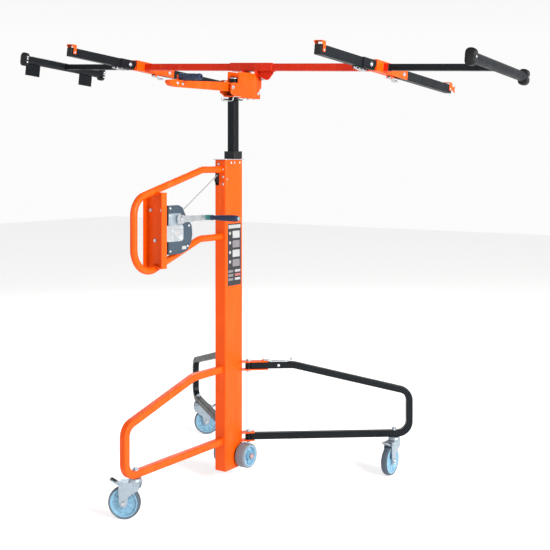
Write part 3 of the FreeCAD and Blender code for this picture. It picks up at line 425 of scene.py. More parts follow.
def square_path(side, corner, place):
    """The points of a rounded square in local XY."""
    points = []
    half = side / 2 - corner
    for index, (sx, sy) in enumerate(((1, 1), (-1, 1), (-1, -1), (1, -1))):
        for swing in range(5):
            angle = math.radians(90 * index + 22.5 * swing)
            x = sx * half + corner * math.cos(angle)
            points.append(place @ Vector((x, sy * half + corner * math.sin(angle), 0)))
        nx, ny = ((-1, 1), (-1, -1), (1, -1), (1, 1))[index]
        start = points[-1]
        end = place @ Vector((nx * half + corner * math.cos(math.radians(90 * (index + 1))),
                              ny * half + corner * math.sin(math.radians(90 * (index + 1))), 0))
        for step in range(1, 8):
            points.append(start.lerp(end, step / 8))
    return points


def rippled(size):
    """A weld bead's radius, which swells and shrinks along its run."""
    return lambda index: size * (0.85 + 0.2 * abs(math.sin(index * 1.7)) + 0.06 * math.sin(index * 0.53))


def rounded_outline(wide, tall, corner, steps=5):
    """A rectangle with round corners, as (x, y) points."""
    outline = []
    for index, (sx, sy) in enumerate(((1, 1), (-1, 1), (-1, -1), (1, -1))):
        for step in range(steps + 1):
            angle = math.radians(90 * index + 90 * step / steps)
            outline.append((sx * (wide / 2 - corner) + corner * math.cos(angle),
                            sy * (tall / 2 - corner) + corner * math.sin(angle)))
    return outline


def hexagon(radius):
    corners = [math.radians(60 * k) for k in range(6)]
    return [(radius * math.cos(angle), radius * math.sin(angle)) for angle in corners]


WASHER = ((0, 0), (1.35, 0), (1.42, 0.05), (1.42, 0.16), (1.35, 0.22), (0, 0.22))


def hex_head(piece, place, size, material):
    """A washer, a hexagon head with eased corners, and its turned face."""
    piece.lathe([(r * size, h * size) for r, h in WASHER], place, material)
    piece.slab(hexagon(size), 0.22 * size, 0.86 * size, place, material, 0.1 * size)
    piece.lathe([(0.82 * size, 0.86 * size), (0.78 * size, 0.92 * size), (0, 0.95 * size)], place, material)


def dome_head(piece, place, size, material):
    """A washer and a domed cap."""
    piece.lathe([(r * size, h * size) for r, h in WASHER], place, material)
    dome = [(size, 0.22 * size), (size, 0.34 * size), (0.94 * size, 0.5 * size), (0.76 * size, 0.68 * size),
            (0.45 * size, 0.8 * size), (0, 0.85 * size)]
    piece.lathe(dome, place, material)


# ---------------------------------------------------------------- CAD nodes: materials and shading

def smooth(node, angle=32):
    mesh = node.data
    mesh.polygons.foreach_set("use_smooth", [True] * len(mesh.polygons))
    mesh.set_sharp_from_angle(angle=math.radians(angle))


def paint(names, material):
    for name in names:
        node = NODES[name]
        node.data.materials.clear()
        node.data.materials.append(material)
        node.data.polygons.foreach_set("material_index", [0] * len(node.data.polygons))
        smooth(node)


def paint_where(name, material, test):
    """Gives a second material to the faces of a CAD node whose centres pass a test, in millimetres."""
    mesh = NODES[name].data
    mesh.materials.append(material)
    last = len(mesh.materials) - 1
    for face in mesh.polygons:
        if test(face.center / MM):
            face.material_index = last


paint(["mast_tube", "front_leg", "leg_hinge_brackets", "winch_hoop", "winch_channel", "head_bracket",
       "tilt_lever", "cross_pieces"], ORANGE)
paint(["beam_tubes", "beam_sleeve"], DEEP_ORANGE)
paint(["hook_%s_%s" % (end, side) for end in ENDS for side in SIDES], ORANGE)
paint(["stage_2_tube", "stage_3_tube", "leg_left", "leg_right"], BLACK)
paint(["arm_%s_%s" % (end, side) for end in ENDS for side in SIDES], CHARCOAL)
paint(["end_bar_left", "end_bar_right", "swivel_spindle"], CHARCOAL)
paint(["mast_cap_plate", "frame_bolts", "frame_axles", "winch_frame", "winch_bolts", "winch_drum",
       "winch_crank", "arm_bolts", "tilt_pivot_bolt"], ZINC)
paint(["leg_lock_" + side for side in SIDES], ZINC)
paint(["catch_%s_%s" % (end, side) for end in ENDS for side in SIDES], ZINC)
paint(["caster_fork_" + name for name in CASTERS], FORK)
paint(["caster_pedal_" + name for name in CASTERS], FORK)
paint(["winch_cover"], SLATE)
paint(["winch_cable"], ROPE)
paint(["stage_2_guides", "mast_guide_block", "mast_pulley", "bumper_caps_left", "bumper_caps_right"],
      BLACK_PLASTIC)


def near_crank_pin(spot):
    """True on the ferrule where the grip's pin leaves the crank's arm."""
    return spot.x > 57.5 and math.hypot(spot.y - GRIP_Y, spot.z - CRANK_Z) < 11


paint_where("winch_crank", TEAL, near_crank_pin)
paint_where("tilt_lever", BLACK, lambda spot: spot.x > 0 and spot.y < -300 and spot.z > 1672)


# ---------------------------------------------------------------- wheels

def caster_tyre_profile():
    return [(53.6, -12.6), (55, -13.6), (57.4, -14.4), (59.4, -13.4), (61.2, -10.4), (62.2, -5.5), (62.5, 0),
            (62.2, 5.5), (61.2, 10.4), (59.4, 13.4), (57.4, 14.4), (55, 13.6), (53.6, 12.6)]


def caster_disc_profile():
    """Half of the wheel centre: hub, dished web with a raised ring, and rim."""
    return [(4.2, 16), (11.5, 16), (13, 15), (14.2, 9), (16, 7.4), (20, 7), (33, 6.6), (34.2, 7.6), (37, 7.6),
            (38.2, 6.4), (44, 6.4), (47, 9.2), (48.4, 12.4), (50, 13.2), (52.6, 13.2), (53.6, 12.6)]


def build_caster(name):
    """The tyre with a pale bead on each sidewall whose colour is painted highlight, the wheel centre with its
    ribs, and the bearing cover of one caster.
    """
    place = caster_place(name) @ shift(AXLE_TRAIL, 0, AXLE_HEIGHT) @ turn(90, "X")
    body = "caster_wheel_" + name
    tyre = Piece()
    profile = caster_tyre_profile()
    tyre.lathe(profile + [(53.6, -12.6)], place, TYRE, 96)
    # A raised bead round each sidewall, coloured pale as a painted highlight.
    for offset in (-13.2, 13.2):
        tyre.sweep(ring_path(56.2, place @ shift(0, 0, offset), 96), 0.9, Matrix(), TYRE_HIGHLIGHT_RING, 8, True)
    rubber = tyre.done("caster_tyre_" + name, body)
    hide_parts("caster_wheel_" + name)
    centre = Piece()
    half = caster_disc_profile()
    mirrored = [(radius, -offset) for radius, offset in reversed(half)]
    centre.lathe(half + mirrored + half[:1], place, DISC, 96)
    for side in (-1, 1):
        for index in range(10):
            spoke = place @ turn(36 * index, "Z")
            outline = [(15, -1.1), (44, -0.8), (44, 0.8), (15, 1.1)]
            low, high = (6.0, 8.6) if side > 0 else (-8.6, -6.0)
            centre.slab(outline, low, high, spoke, DISC, 0.3)
        face = place if side > 0 else place @ turn(180, "X")
        bearing_cover = [(12.6, 15.4), (12.6, 16.4), (11.8, 17), (9, 17.2), (8.4, 16.6), (4.2, 16.6)]
        centre.lathe(bearing_cover, face, DISC_HUB, 48)
    centre.done("caster_disc_" + name, body)


def build_caster_hardware(name):
    """The dome nut over the stem, the swivel race's dust ring and the axle's nuts."""
    body = "caster_" + name
    place = caster_place(name)
    piece = Piece()
    dome_head(piece, place @ shift(0, 0, 184.5), 9.2, ZINC)
    race = [(21, 0), (24, 0.4), (24.6, 3), (24.2, 6.5), (23, 9.4), (20, 11.5), (14, 12.3)]
    piece.lathe([(r, 143 + h) for r, h in race], place, FORK, 56)
    for height in (144.4, 151.5):
        piece.sweep(ring_path(24.3, place @ shift(0, 0, height), 56), 0.6, Matrix(), FORK, 8, True)
    for side in (-1, 1):
        end = place @ shift(AXLE_TRAIL, side * 20.2, AXLE_HEIGHT) @ lengthways(side)
        hex_head(piece, end, 6.6, ZINC)
        for x, z in ((0, 134), (40, 134)):
            rivet = place @ shift(x, side * 20, z - 4) @ lengthways(side)
            piece.lathe([(3.4, 0), (3.2, 0.9), (2.2, 1.5), (0, 1.8)], rivet, FORK, 20)
    piece.done("caster_hardware_" + name, body)


def build_pedal_tread(name):
    """The ribbed foot pad on a brake pedal."""
    place = caster_place(name) @ shift(83, 0, 144.9) @ turn(-28.2, "Y")
    piece = Piece()
    piece.slab(rounded_outline(23, 23, 3), -0.4, 1.3, place, BLACK_PLASTIC, 0.5)
    for index in range(5):
        rib = place @ shift(-8 + 4 * index, 0, 0)
        piece.slab(rounded_outline(1.8, 19, 0.8, 3), 1.2, 2.1, rib, BLACK_PLASTIC, 0.3)
    piece.done("pedal_pad_" + name, "caster_pedal_" + name)


for caster in CASTERS:
    build_caster(caster)
    build_caster_hardware(caster)
    build_pedal_tread(caster)


def build_truck_wheel(side):
    """A broad transport wheel: grey tyre, blue rim with a deep dish, dark hub."""
    word = word_for(side)
    place = shift(side * TRUCK_X, TRUCK_Y, TRUCK_Z) @ ALONG_X
    body = "truck_wheel_" + word
    tyre = Piece()
    profile = [(41.5, -23.4), (45.5, -24), (48.6, -22.4), (50.4, -18.5), (51, -12), (51, 12), (50.4, 18.5),
               (48.6, 22.4), (45.5, 24), (41.5, 23.4), (41.5, -23.4)]
    tyre.lathe(profile, place, TRUCK_TYRE, 96)
    for offset in (-16, -8, 0, 8, 16):
        tyre.sweep(ring_path(50.7, place @ shift(0, 0, offset), 96), 0.5, Matrix(), TRUCK_TYRE, 8, True)
    rubber = tyre.done("truck_tyre_" + word, body)
    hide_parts("truck_wheel_" + word)
    rim = Piece()
    half = [(8.2, 23.6), (15, 23.6), (17, 22.6), (18.6, 10), (21, 8.4), (31, 8), (34, 9.6), (36.5, 20.5),
            (38, 22.8), (40, 23.6), (41.5, 23.4)]
    mirrored = [(radius, -offset) for radius, offset in reversed(half)]
    rim.lathe(half + mirrored + half[:1], place, DISC, 96)
    for flip in (place, place @ turn(180, "X")):
        for index in range(6):
            spoke = flip @ turn(60 * index, "Z")
            rim.slab([(17.5, -1.6), (34, -1.2), (34, 1.2), (17.5, 1.6)], 7, 12, spoke, DISC, 0.4)
        rim.lathe([(15.6, 22.8), (15.4, 24), (12, 24), (11.4, 23.4), (8.2, 23.4)], flip, DISC_HUB, 48)
    rim.done("truck_rim_" + word, body)
    cap = Piece()
    outward = ALONG_X if side > 0 else ALONG_X @ turn(180, "X")
    end = shift(side * (TRUCK_X + 29), TRUCK_Y, TRUCK_Z) @ outward
    cap.lathe([(10.8, -0.4), (10.6, 2.4), (9.2, 3.0), (6.4, 3.2), (5.8, 2.6), (0, 2.6)], end, DEEP_ORANGE, 40)
    cap.done("truck_axle_cap_" + word, "chassis")


for direction in (-1, 1):
    build_truck_wheel(direction)


# ---------------------------------------------------------------- chassis details

def build_welds():
    """The beads where tubes and plates are welded to the mast and to each other."""
    piece = Piece()
    for height in (1311, 1029):
        seat = shift(0, -MAST_HALF_Y - 0.4, height) @ turn(90, "X")
        piece.sweep(ring_path(14.3, seat, 56), rippled(2.1), Matrix(), ORANGE, 10, True)
    for height in reversed(HINGE_HEIGHTS):
        seat = shift(0, -MAST_HALF_Y - 0.4, height) @ turn(90, "X")
        piece.sweep(square_path(28.6, 4, seat), rippled(2.1), Matrix(), ORANGE, 10, True)
    for side in (-1, 1):
        for height in HINGE_HEIGHTS:
            for z in (height - 16.6, height + 16.6):
                run = [(side * (MAST_HALF_X + 0.3), 30.5 + 2 * k, z) for k in range(15)]
                piece.sweep(run, rippled(1.7), Matrix(), ORANGE, 8)
    piece.done("frame_welds", "chassis")
    piece = Piece()
    for z, slope in ((1222, 15), (939, -19)):
        for x in (-13.6, 13.6):
            run = [(x, -463 - 1.9 * k, z - 2 - math.tan(math.radians(slope)) * 1.9 * k) for k in range(12)]
            piece.sweep(run, rippled(1.8), Matrix(), ORANGE, 8)
    piece.done("channel_welds", "chassis")


def build_channel_bolts():
    """Domed caps on the bolts that hold the winch to its channel."""
    piece = Piece()
    for x, z in ((-29, 1157), (29, 1157), (-6, 1040)):
        dome_head(piece, shift(x, -461.9, z) @ turn(90, "X"), 4.9, ZINC)
    piece.done("channel_bolt_caps", "chassis")


def build_mast_details():
    """The mast's generic label, guide screws and slot rim."""
    label = Piece()
    skin = shift(MAST_HALF_X + 0.05, 0, 0) @ turn(90, "Y") @ turn(90, "Z")

    def panel(y, z, wide, tall, corner, low, high, material):
        label.slab(rounded_outline(wide, tall, corner), low, high, skin @ shift(y, z, 0), material, 0.05)

    panel(2, 952, 94, 262, 4, 0, 0.35, LABEL)
    panel(2, 1070, 84, 15, 3, 0.3, 0.5, LABEL_LIGHT)
    for index in range(4):
        z = 1036 - 40 * index
        panel(14, z, 50, 30, 3, 0.3, 0.5, LABEL_GREY if index % 2 else LABEL_LIGHT)
        label.lathe([(7, 0.3), (7, 0.5), (0, 0.5)], skin @ shift(-29, z + 6, 0), LABEL_LIGHT, 28)
    for index in range(3):
        panel(-24, 882 - 17 * index, 34, 10, 2, 0.3, 0.5, LABEL_GREY)
        panel(24, 882 - 17 * index, 38, 10, 2, 0.3, 0.5, LABEL_WARM if index == 1 else LABEL_LIGHT)
    label.done("mast_label", "chassis")
    screws = Piece()
    for y, z in ((0, 1340), (-20, 1340), (40, 1340)):
        for side in (1, -1):
            place = shift(side * MAST_HALF_X, y, z) @ sideways(side)
            screws.lathe([(4.6, 0), (4.4, 1.6), (3.4, 2.4), (2, 2.7), (1.6, 1.6), (0, 1.4)], place, ZINC, 24)
    for z in (1318, 1286, 1256):
        place = shift(16, -MAST_HALF_Y, z - 6) @ turn(90, "X")
        screws.lathe([(4.6, 0), (4.4, 1.6), (3.4, 2.4), (2, 2.7), (0, 2.8)], place, ZINC, 24)
    screws.done("mast_screws", "chassis")
    rim = Piece()
    slot = [(x, -MAST_HALF_Y - 0.1, z) for x, z in ((-25, 1245.5), (-7, 1245.5), (-7, 1294.5), (-25, 1294.5))]
    rim.sweep(closed_run(slot, 12), 0.8, Matrix(), BLACK_PLASTIC, 8, True)
    rim.done("cable_slot_grommet", "chassis")


def build_leg_details(side):
    """A leg's bolt heads, its hinge washers and the welds round its tubes' ends."""
    word = word_for(side)
    place = leg_place(side)
    piece = Piece()
    for across in (-1, 1):
        spot = place @ shift(128, across * 14, HINGE_HEIGHTS[1]) @ lengthways(across)
        dome_head(piece, spot, 4.2, ZINC)
    if side < 0:
        for z in (322, 300, 236):
            dome_head(piece, place @ shift(710, 0, z) @ turn(90, "Y"), 4.0, ZINC)
    for z in HINGE_HEIGHTS:
        for up in (-1, 1):
            ring = [(13.5, 14.05), (13.6, 14.5), (7, 14.55), (6.2, 14.05)]
            level = place @ shift(0, 0, z) @ (Matrix() if up > 0 else turn(180, "X"))
            piece.lathe(ring, level, ZINC, 40)
    piece.done("leg_bolts_" + word, "leg_" + word)
    welds = Piece()
    for z in HINGE_HEIGHTS:
        seat = place @ shift(12.6, 0, z) @ turn(90, "Y")
        welds.sweep(square_path(28.2, 4, seat), rippled(1.0), Matrix(), BLACK, 8, True)
    welds.done("leg_welds_" + word, "leg_" + word)


def build_hinge_bolts():
    """Hexagon heads over and under the leg hinges."""
    piece = Piece()
    for side in (-1, 1):
        for z in HINGE_HEIGHTS:
            up = shift(side * HINGE_X, HINGE_Y, z + 18.6)
            hex_head(piece, up, 9.6, ZINC)
            down = shift(side * HINGE_X, HINGE_Y, z - 18.6) @ turn(180, "X")
            hex_head(piece, down, 9.2, ZINC)
    piece.done("hinge_bolt_heads", "chassis")


def build_lock_details(side):
    """The edge beads, the curled thumb grip and the pivot rivet of a leg's lock lever."""
    word = word_for(side)
    place = leg_place(side)
    piece = Piece()
    for across in (-1, 1):
        run = [(66 + 7.6 * k, across * 8.2, LOCK_TOP + (9.8 if k < 4 else 4.4)) for k in range(13)]
        piece.sweep(run, 0.9, place, ZINC, 8)
    turns = [math.radians(angle) for angle in range(-90, 181, 18)]
    curl = [(183 + 4 * math.cos(angle), 0, LOCK_TOP + 10 + 4 * math.sin(angle)) for angle in turns]
    for offset in range(-8, 9, 2):
        piece.sweep([(x, offset, z) for x, y, z in curl], 1.1, place, ZINC, 8)
    piece.lathe([(5, 0), (4.8, 1.4), (3.4, 2.2), (0, 2.5)], place @ shift(66, 0, LOCK_TOP + 8.6), ZINC, 28)
    piece.done("lock_details_" + word, "leg_lock_" + word)


build_welds()
build_channel_bolts()
build_mast_details()
build_hinge_bolts()
for direction in (-1, 1):
    build_leg_details(direction)
    build_lock_details(direction)


# ---------------------------------------------------------------- winch details

def build_rope_turns():
    """The cable's turns on the drum."""
    piece = Piece()
    run = []
    steps = 36
    for index in range(steps * 8):
        angle = 2 * math.pi * index / steps
        x = -26.5 + 5.15 * index / steps
        run.append((x, DRUM_Y + 34.3 * math.sin(angle), DRUM_Z + 34.3 * math.cos(angle)))
    piece.sweep(run[:int(steps * 7.6)], 2.45, Matrix(), ROPE, 10)
    piece.done("rope_turns", "winch_drum")


def build_cover_details():
    """The cover's raised rim, its screws and a blank sticker."""
    outline = [(-446, 986), (-370, 984), (-330, 996), (-309, 1022), (-301, 1056), (-305, 1092), (-340, 1130),
               (-362, 1165), (-384, 1175), (-446, 1175)]
    piece = Piece()
    shrunk = [(COVER_X + 0.1, -372 + (y + 372) * 0.93, 1080 + (z - 1080) * 0.93) for y, z in outline]
    piece.sweep(closed_run(shrunk, 10), 1.1, Matrix(), SLATE, 8, True)
    for y, z in ((-435, 1164), (-435, 998), (-330, 1012), (-322, 1092)):
        screw = [(5, 0), (4.8, 1.6), (3.6, 2.6), (1.8, 2.9), (1.4, 1.6), (0, 1.5)]
        piece.lathe(screw, shift(COVER_X, y, z) @ ALONG_X, ZINC, 24)
    sticker = shift(COVER_X + 0.05, -352, 1007) @ turn(90, "Y") @ turn(90, "Z")
    piece.slab(rounded_outline(26, 13, 1.5), 0, 0.4, sticker, LABEL_LIGHT, 0.05)
    piece.done("cover_details", "chassis")


def build_strap_details():
    """The bright face plate by the crank's shaft, its rivets, a blank plate and the frame's lips."""
    piece = Piece()
    skin = shift(COVER_X + 0.05, 0, 0) @ turn(90, "Y") @ turn(90, "Z")
    outline = [(-446, 1034), (-366, 1034), (-361, 1039), (-361, 1095), (-370, 1104), (-370, 1138),
               (-376, 1144), (-446, 1144)]
    piece.slab(outline, 0, 1.6, skin, FORK, 0.5)
    piece.slab(rounded_outline(52, 40, 4), 1.4, 3.4, skin @ shift(-398, 1062, 0), ZINC, 0.6)
    piece.slab(rounded_outline(24, 15, 2), 3.3, 3.7, skin @ shift(-400, 1066, 0), LABEL_LIGHT, 0.05)
    for y, z in ((-440, 1136), (-380, 1136), (-440, 1040), (-368, 1088)):
        piece.lathe([(3.2, 0), (3, 1), (1.8, 1.7), (0, 1.9)], shift(47.5, y, z) @ ALONG_X, ZINC, 20)
    dome_head(piece, shift(49.3, -376, DRUM_Z) @ ALONG_X, 5.2, LIGHT_DOT)
    for z in (984, 1168):
        lip = shift(-35.6, -457, z) @ ALONG_X
        piece.slab(rounded_outline(10, 9, 2), 0, 57, lip, ZINC, 0.8)
    piece.done("winch_face_plate", "chassis")


def build_crank_details():
    """The crank hub's nut and washer, and the ferrule's flutes."""
    piece = Piece()
    skin = shift(58.05, CRANK_Y, CRANK_Z) @ turn(90, "Y") @ turn(90, "Z")
    piece.slab(rounded_outline(38, 34, 5), -0.4, 2.2, skin, ZINC, 0.8)
    hex_head(piece, shift(60.1, CRANK_Y, CRANK_Z) @ ALONG_X, 9.5, ZINC)
    for index in range(14):
        angle = 2 * math.pi * index / 14
        y = GRIP_Y + 10 * math.cos(angle)
        z = CRANK_Z + 10 * math.sin(angle)
        rib = [(60 + 4.5 * k, y, z) for k in range(5)]
        piece.sweep(rib, 0.8, Matrix(), TEAL, 6)
    piece.done("crank_details", "winch_crank")


def build_crank_grip():
    """The tapered, softly fluted grip with its light end cap."""
    place = shift(0, GRIP_Y, CRANK_Z) @ ALONG_X
    piece = Piece()
    profile = [(5.2, 80.6), (9.2, 80.6), (10.4, 81.4), (11.4, 84), (11.2, 87), (9.8, 91), (9.2, 96),
               (9.4, 104), (10.2, 116), (11.2, 132), (12.2, 152), (12.8, 172), (13, 190), (12.9, 200),
               (12.2, 208), (10.6, 213.6), (8.4, 216), (6.4, 216.6), (6.2, 215.6)]
    piece.lathe(profile, place, NAVY_GRIP, 64)
    for index in range(16):
        angle = 2 * math.pi * index / 16
        flute = []
        for step in range(16):
            x = 106 + 6 * step
            radius = 9.5 + 3.3 * min(1, max(0, (x - 100) / 76))
            flute.append((x, GRIP_Y + radius * math.cos(angle), CRANK_Z + radius * math.sin(angle)))
        piece.sweep(flute, lambda k: 0.75 * math.sin(math.pi * (k + 0.6) / 16.2), Matrix(), NAVY_GRIP, 6)
    piece.lathe([(6.4, 215.4), (6.2, 217.2), (4.6, 218), (2, 218.3), (0, 218.3)], place, LIGHT_DOT, 36)
    grip = piece.done("crank_grip_moulded", "crank_grip")
    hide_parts("crank_grip")


build_rope_turns()
build_cover_details()
build_strap_details()
build_crank_details()
build_crank_grip()


# ---------------------------------------------------------------- head and lever

def build_lever_grip():
    """The soft roll grip on the tilt lever's cross bar, ribbed at both ends."""
    place = HEAD @ shift(0, -352, 65) @ ALONG_X
    piece = Piece()
    profile = [(6.1, -3), (11, -3), (12.6, -2), (13.4, 0.6), (13.4, 10), (12.7, 12.4), (12.3, 17),
               (12.1, 30), (12.1, 66), (12.3, 80), (12.7, 86), (13.4, 88.6), (13.4, 97), (12.6, 101),
               (11, 103.4), (8, 104), (6.1, 104)]
    piece.lathe(profile, place, NAVY_GRIP, 56)
    for x in [22 + 4.4 * k for k in range(13)]:
        piece.sweep(ring_path(12.3, place @ shift(0, 0, x), 48), 0.8, Matrix(), NAVY_GRIP, 8, True)
    grip = piece.done("lever_grip_moulded", "tilt_lever")
    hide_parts("lever_grip")


def build_lever_details():
    """The bolt heads on the lever's blade and at its pivot."""
    piece = Piece()
    for y in (-352, -384):
        for flip in (1, -1):
            side = HEAD @ shift(flip * 12, y, 38 if y < -360 else 36) @ sideways(flip)
            dome_head(piece, side, 4.6, ZINC)
    for flip in (1, -1):
        side = HEAD @ shift(flip * 30, -44, 42) @ sideways(flip)
        hex_head(piece, side, 6.2, ZINC)
    piece.done("lever_bolts", "tilt_lever")


def build_bracket_details():
    """The bracket's bolts, the cap on its spindle, the wire bail below it and its welds."""
    piece = Piece()
    for x, y in ((-17, 60), (17, 60), (-17, 130), (17, 130)):
        hex_head(piece, HEAD @ shift(x, y, 6.3), 6, ZINC)
        under = HEAD @ shift(x, y, 0.3) @ turn(180, "X")
        hex_head(piece, under, 5.6, ZINC)
    for flip in (1, -1):
        side = HEAD @ shift(flip * 47.6, PIVOT[1], PIVOT[2]) @ sideways(flip)
        hex_head(piece, side, 9.8, ZINC)
        lower = HEAD @ shift(flip * 30, 140, 24) @ sideways(flip)
        dome_head(piece, lower, 5.6, ZINC)
    piece.lathe([(17, 79.6), (17, 82.6), (15.4, 84), (6, 84.4), (5.4, 83.4), (0, 83.4)], HEAD, ZINC, 40)
    bail = [(-34, -30, 2), (-36, -34, -4), (-36, -34, -12), (-30, -34, -17), (18, -34, -17), (25, -34, -12),
            (25, -34, -2), (29, -31, 3), (34, -24, 4), (34, 60, 4)]
    rounded = []
    for before, corner, after in zip(bail, bail[1:], bail[2:]):
        start = Vector(before).lerp(Vector(corner), 0.5)
        end = Vector(corner).lerp(Vector(after), 0.5)
        for step in range(6):
            bend = step / 6
            rounded.append(start.lerp(Vector(corner), bend).lerp(Vector(corner).lerp(end, bend), bend))
    piece.sweep(rounded, 1.9, HEAD, ZINC, 10)
    piece.done("bracket_bolts", "head")
    welds = Piece()
    for x in (-25.3, 25.3):
        run = [(x, -28 + 5 * k, 6.6) for k in range(37)]
        welds.sweep(run, rippled(1.5), HEAD, ORANGE, 8)
    welds.done("bracket_welds", "head")


build_lever_grip()
build_lever_details()
build_bracket_details()


# ---------------------------------------------------------------- cradle details

def build_cradle_details():
    """The cross-pieces' bolt caps, the welds round the beam and the collars at its ends."""
    bolts = Piece()
    welds = Piece()
    for side in (-1, 1):
        x = side * CROSS_X
        for y in (NEAR_PIVOT_Y, FAR_PIVOT_Y):
            for flip in (1, -1):
                spot = CRADLE @ shift(x + flip * 19.4, y, ARM_Z) @ sideways(flip)
                dome_head(bolts, spot, 6.6, ZINC)
        for flip in (1, -1):
            seat = CRADLE @ shift(x + flip * 19.2, BEAM_Y, BEAM_Z) @ ALONG_X
            welds.sweep(square_path(30.4, 3, seat), rippled(1.5), Matrix(), ORANGE, 8, True)
        for y in (BEAM_Y - 42, BEAM_Y + 42):
            dome_head(bolts, CRADLE @ shift(x, y, BEAM_Z + 22.6), 4.0, ZINC)
    for x in (-112, 112):
        seat = CRADLE @ shift(x, BEAM_Y, BEAM_Z) @ ALONG_X
        welds.sweep(square_path(31, 2.5, seat), rippled(1.3), Matrix(), DEEP_ORANGE, 8, True)
    bolts.done("cradle_bolts", "cradle")
    welds.done("cradle_welds", "cradle")
    collars = Piece()
    for side in (-1, 1):
        seat = CRADLE @ shift(side * 677, BEAM_Y, BEAM_Z) @ sideways(side)
        collars.sweep(square_path(27.6, 2.5, seat), 1.5, Matrix(), BLACK_PLASTIC, 8, True)
    collars.done("beam_collars", "cradle")


def build_arm_details(side, end):
    """The moulded plug in an arm's tip and the caps on its hook's pivot."""
    word = word_for(side)
    x = side * CROSS_X
    away = -1 if end == "near" else 1
    tip = ARM_TIP_Y[end]
    piece = Piece()
    seat = CRADLE @ shift(x, tip, ARM_Z) @ lengthways(away)
    piece.slab(rounded_outline(29, 37, 3), -1.2, 2.0, seat, BLACK_PLASTIC, 0.8)
    piece.slab(rounded_outline(21, 29, 3), 1.8, 2.8, seat, BLACK_PLASTIC, 0.5)
    piece.done("arm_plug_%s_%s" % (end, word), "arm_%s_%s" % (end, word))
    caps = Piece()
    for flip in (1, -1):
        spot = CRADLE @ shift(x + flip * 19.4, tip - away * 16, ARM_Z) @ sideways(flip)
        caps.lathe([(4.6, -1.8), (4.6, -0.2), (3.6, 0.8), (0, 1.2)], spot, ZINC, 24)
    caps.done("hook_caps_%s_%s" % (end, word), "hook_%s_%s" % (end, word))


def build_catch_spring(side, end):
    """The coil spring round a catch's pin."""
    word = word_for(side)
    x = side * CROSS_X
    y, z = CATCH_PIN[end]
    piece = Piece()
    for start in (-7.6, 3.4):
        run = []
        for index in range(3 * 18):
            angle = 2 * math.pi * index / 18
            along = x + start + 4.2 * index / 54
            run.append((along, y + 5.2 * math.cos(angle), z + 5.2 * math.sin(angle)))
        piece.sweep(run, 0.65, CRADLE, ZINC, 8)
    piece.done("catch_spring_%s_%s" % (end, word), "catch_%s_%s" % (end, word))


def build_bar_details(side):
    """A cross bar's end caps, their screws and the weld where it meets its tube; on the left bar, a painted
    reflection on the near cap's face.
    """
    word = word_for(side)
    x = side * BAR_REACH[word]
    body = "end_bar_" + word
    piece = Piece()
    for end in (-1, 1):
        y = BEAM_Y + end * BAR_HALF
        for flip in (1, -1):
            spot = CRADLE @ shift(x + flip * 20.9, y + end * 12, BEAM_Z) @ sideways(flip)
            piece.lathe([(4.4, 0), (4.2, 1.2), (3, 2), (1.6, 2.1), (1.3, 1), (0, 0.9)], spot, ZINC, 24)
        if side < 0:
            for height in (10, -14):
                spot = CRADLE @ shift(x + 20.9, y + end * 12, BEAM_Z + height) @ ALONG_X
                piece.lathe([(3.8, 0), (3.6, 1.4), (2.4, 2), (0, 2.1)], spot, LIGHT_DOT, 24)
    piece.done("bar_screws_" + word, body)
    weld = Piece()
    run = []
    for index in range(48):
        angle = 2 * math.pi * index / 48
        y = 13.6 * math.cos(angle)
        z = 13.6 * math.sin(angle)
        run.append((x - side * math.sqrt(20.4 ** 2 - y * y), BEAM_Y + y, BEAM_Z + z))
    weld.sweep(run, rippled(1.5), CRADLE, CHARCOAL, 8, True)
    weld.done("bar_weld_" + word, body)
    caps = Piece()
    for end in (-1, 1):
        y = BEAM_Y + end * BAR_HALF
        outline = rounded_outline(42, 64, 18, 10)
        seat = CRADLE @ shift(x, y, BEAM_Z) @ lengthways(end)
        caps.slab(outline, 0, 21, seat, BLACK_PLASTIC, 1.6)
        caps.slab(rounded_outline(35, 57, 15, 10), 20.6, 24, seat, BLACK_PLASTIC, 2.4)
    # On the left bar's near cap only, a thin blue panel is painted reflection: the glare on the glossy black
    # cap's face.
    if side < 0:
        face = CRADLE @ shift(x, BEAM_Y - BAR_HALF, BEAM_Z) @ turn(90, "X")
        caps.slab(rounded_outline(27, 48, 12, 10), 23.2, 23.9, face, DISC_HUB, 0.3)
    bumper = caps.done("bumper_" + word, body, 50)
    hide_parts("bumper_caps_" + word)


build_cradle_details()
for direction in (-1, 1):
    build_bar_details(direction)
    for arm_end in ENDS:
        build_arm_details(direction, arm_end)
        build_catch_spring(direction, arm_end)


# ---------------------------------------------------------------- floor, light and camera

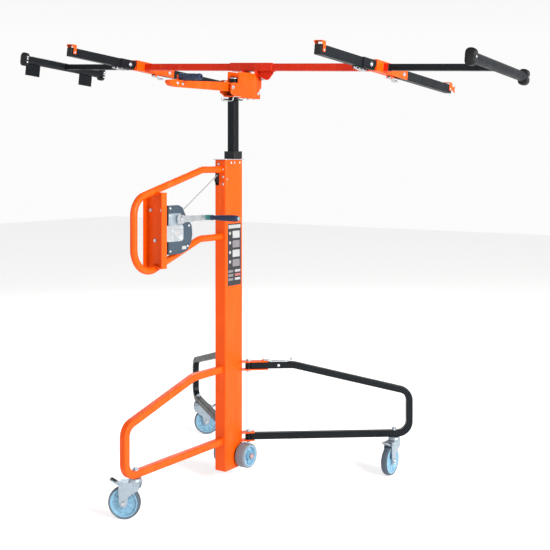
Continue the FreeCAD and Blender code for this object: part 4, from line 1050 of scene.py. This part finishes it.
def build_floor():
    mesh = bpy.data.meshes.new("floor")
    mesh.from_pydata([(-14, -14, 0), (14, -14, 0), (14, 14, 0), (-14, 14, 0)], [], [(0, 1, 2, 3)])
    g = Graph("pale_floor")
    tone = g.spread(g.noise(0.8, 3), 0.3, 0.7)
    g.link(g.mix(tone, (0.86, 0.86, 0.86), (0.88, 0.88, 0.88)), g.shader.inputs["Base Color"])
    g.set(rough=0.75)
    g.shader.inputs["Emission Color"].default_value = (1, 1, 1, 1)
    g.shader.inputs["Emission Strength"].default_value = 0.40
    mesh.materials.append(g.material)
    floor = bpy.data.objects.new("floor", mesh)
    bpy.context.scene.collection.objects.link(floor)


def area_light(name, spot, target, size, power, colour=(1, 1, 1)):
    light = bpy.data.lights.new(name, "AREA")
    light.shape = "DISK"
    light.size = size
    light.energy = power
    light.color = colour
    lamp = bpy.data.objects.new(name, light)
    bpy.context.scene.collection.objects.link(lamp)
    lamp.location = spot
    lamp.rotation_euler = (Vector(target) - Vector(spot)).to_track_quat("-Z", "Y").to_euler()


def build_light():
    """A white studio, bright round the horizon, with its key light from the right."""
    world = bpy.data.worlds.new("studio")
    bpy.context.scene.world = world
    world.use_nodes = True
    tree = world.node_tree
    back = tree.nodes["Background"]
    back.inputs["Strength"].default_value = 1.0
    place = tree.nodes.new("ShaderNodeTexCoord")
    parts = tree.nodes.new("ShaderNodeSeparateXYZ")
    ramp = tree.nodes.new("ShaderNodeMapRange")
    for key, number in (("From Min", 0.12), ("From Max", 0.85), ("To Min", 0.97), ("To Max", 0.34)):
        ramp.inputs[key].default_value = number
    tree.links.new(place.outputs["Generated"], parts.inputs["Vector"])
    tree.links.new(parts.outputs["Z"], ramp.inputs["Value"])
    tree.links.new(ramp.outputs["Result"], back.inputs["Color"])
    area_light("key", (5.6, -0.9, 2.9), (0, 0, 0.9), 2.6, 560, (1.0, 0.97, 0.93))
    area_light("fill", (-1.5, -5.0, 2.6), (0, 0, 0.9), 3.5, 30)
    area_light("rim", (-3.5, 3.5, 3.6), (0, 0, 1.2), 2.5, 60)


def build_camera():
    """Level, 3.4 m in front and 2.6 m to the right, its frame shifted down to take in the floor."""
    camera = bpy.data.cameras.new("camera")
    camera.lens = 65.45
    camera.sensor_width = 36
    camera.shift_y = -0.2109
    camera.clip_end = 60
    seat = bpy.data.objects.new("camera", camera)
    bpy.context.scene.collection.objects.link(seat)
    seat.location = (2.560, -3.391, 1.355)
    seat.rotation_euler = Vector((-0.565, 0.825, 0)).to_track_quat("-Z", "Y").to_euler()
    bpy.context.scene.camera = seat


build_floor()
build_light()
build_camera()
bpy.context.scene.view_settings.view_transform = "Standard"
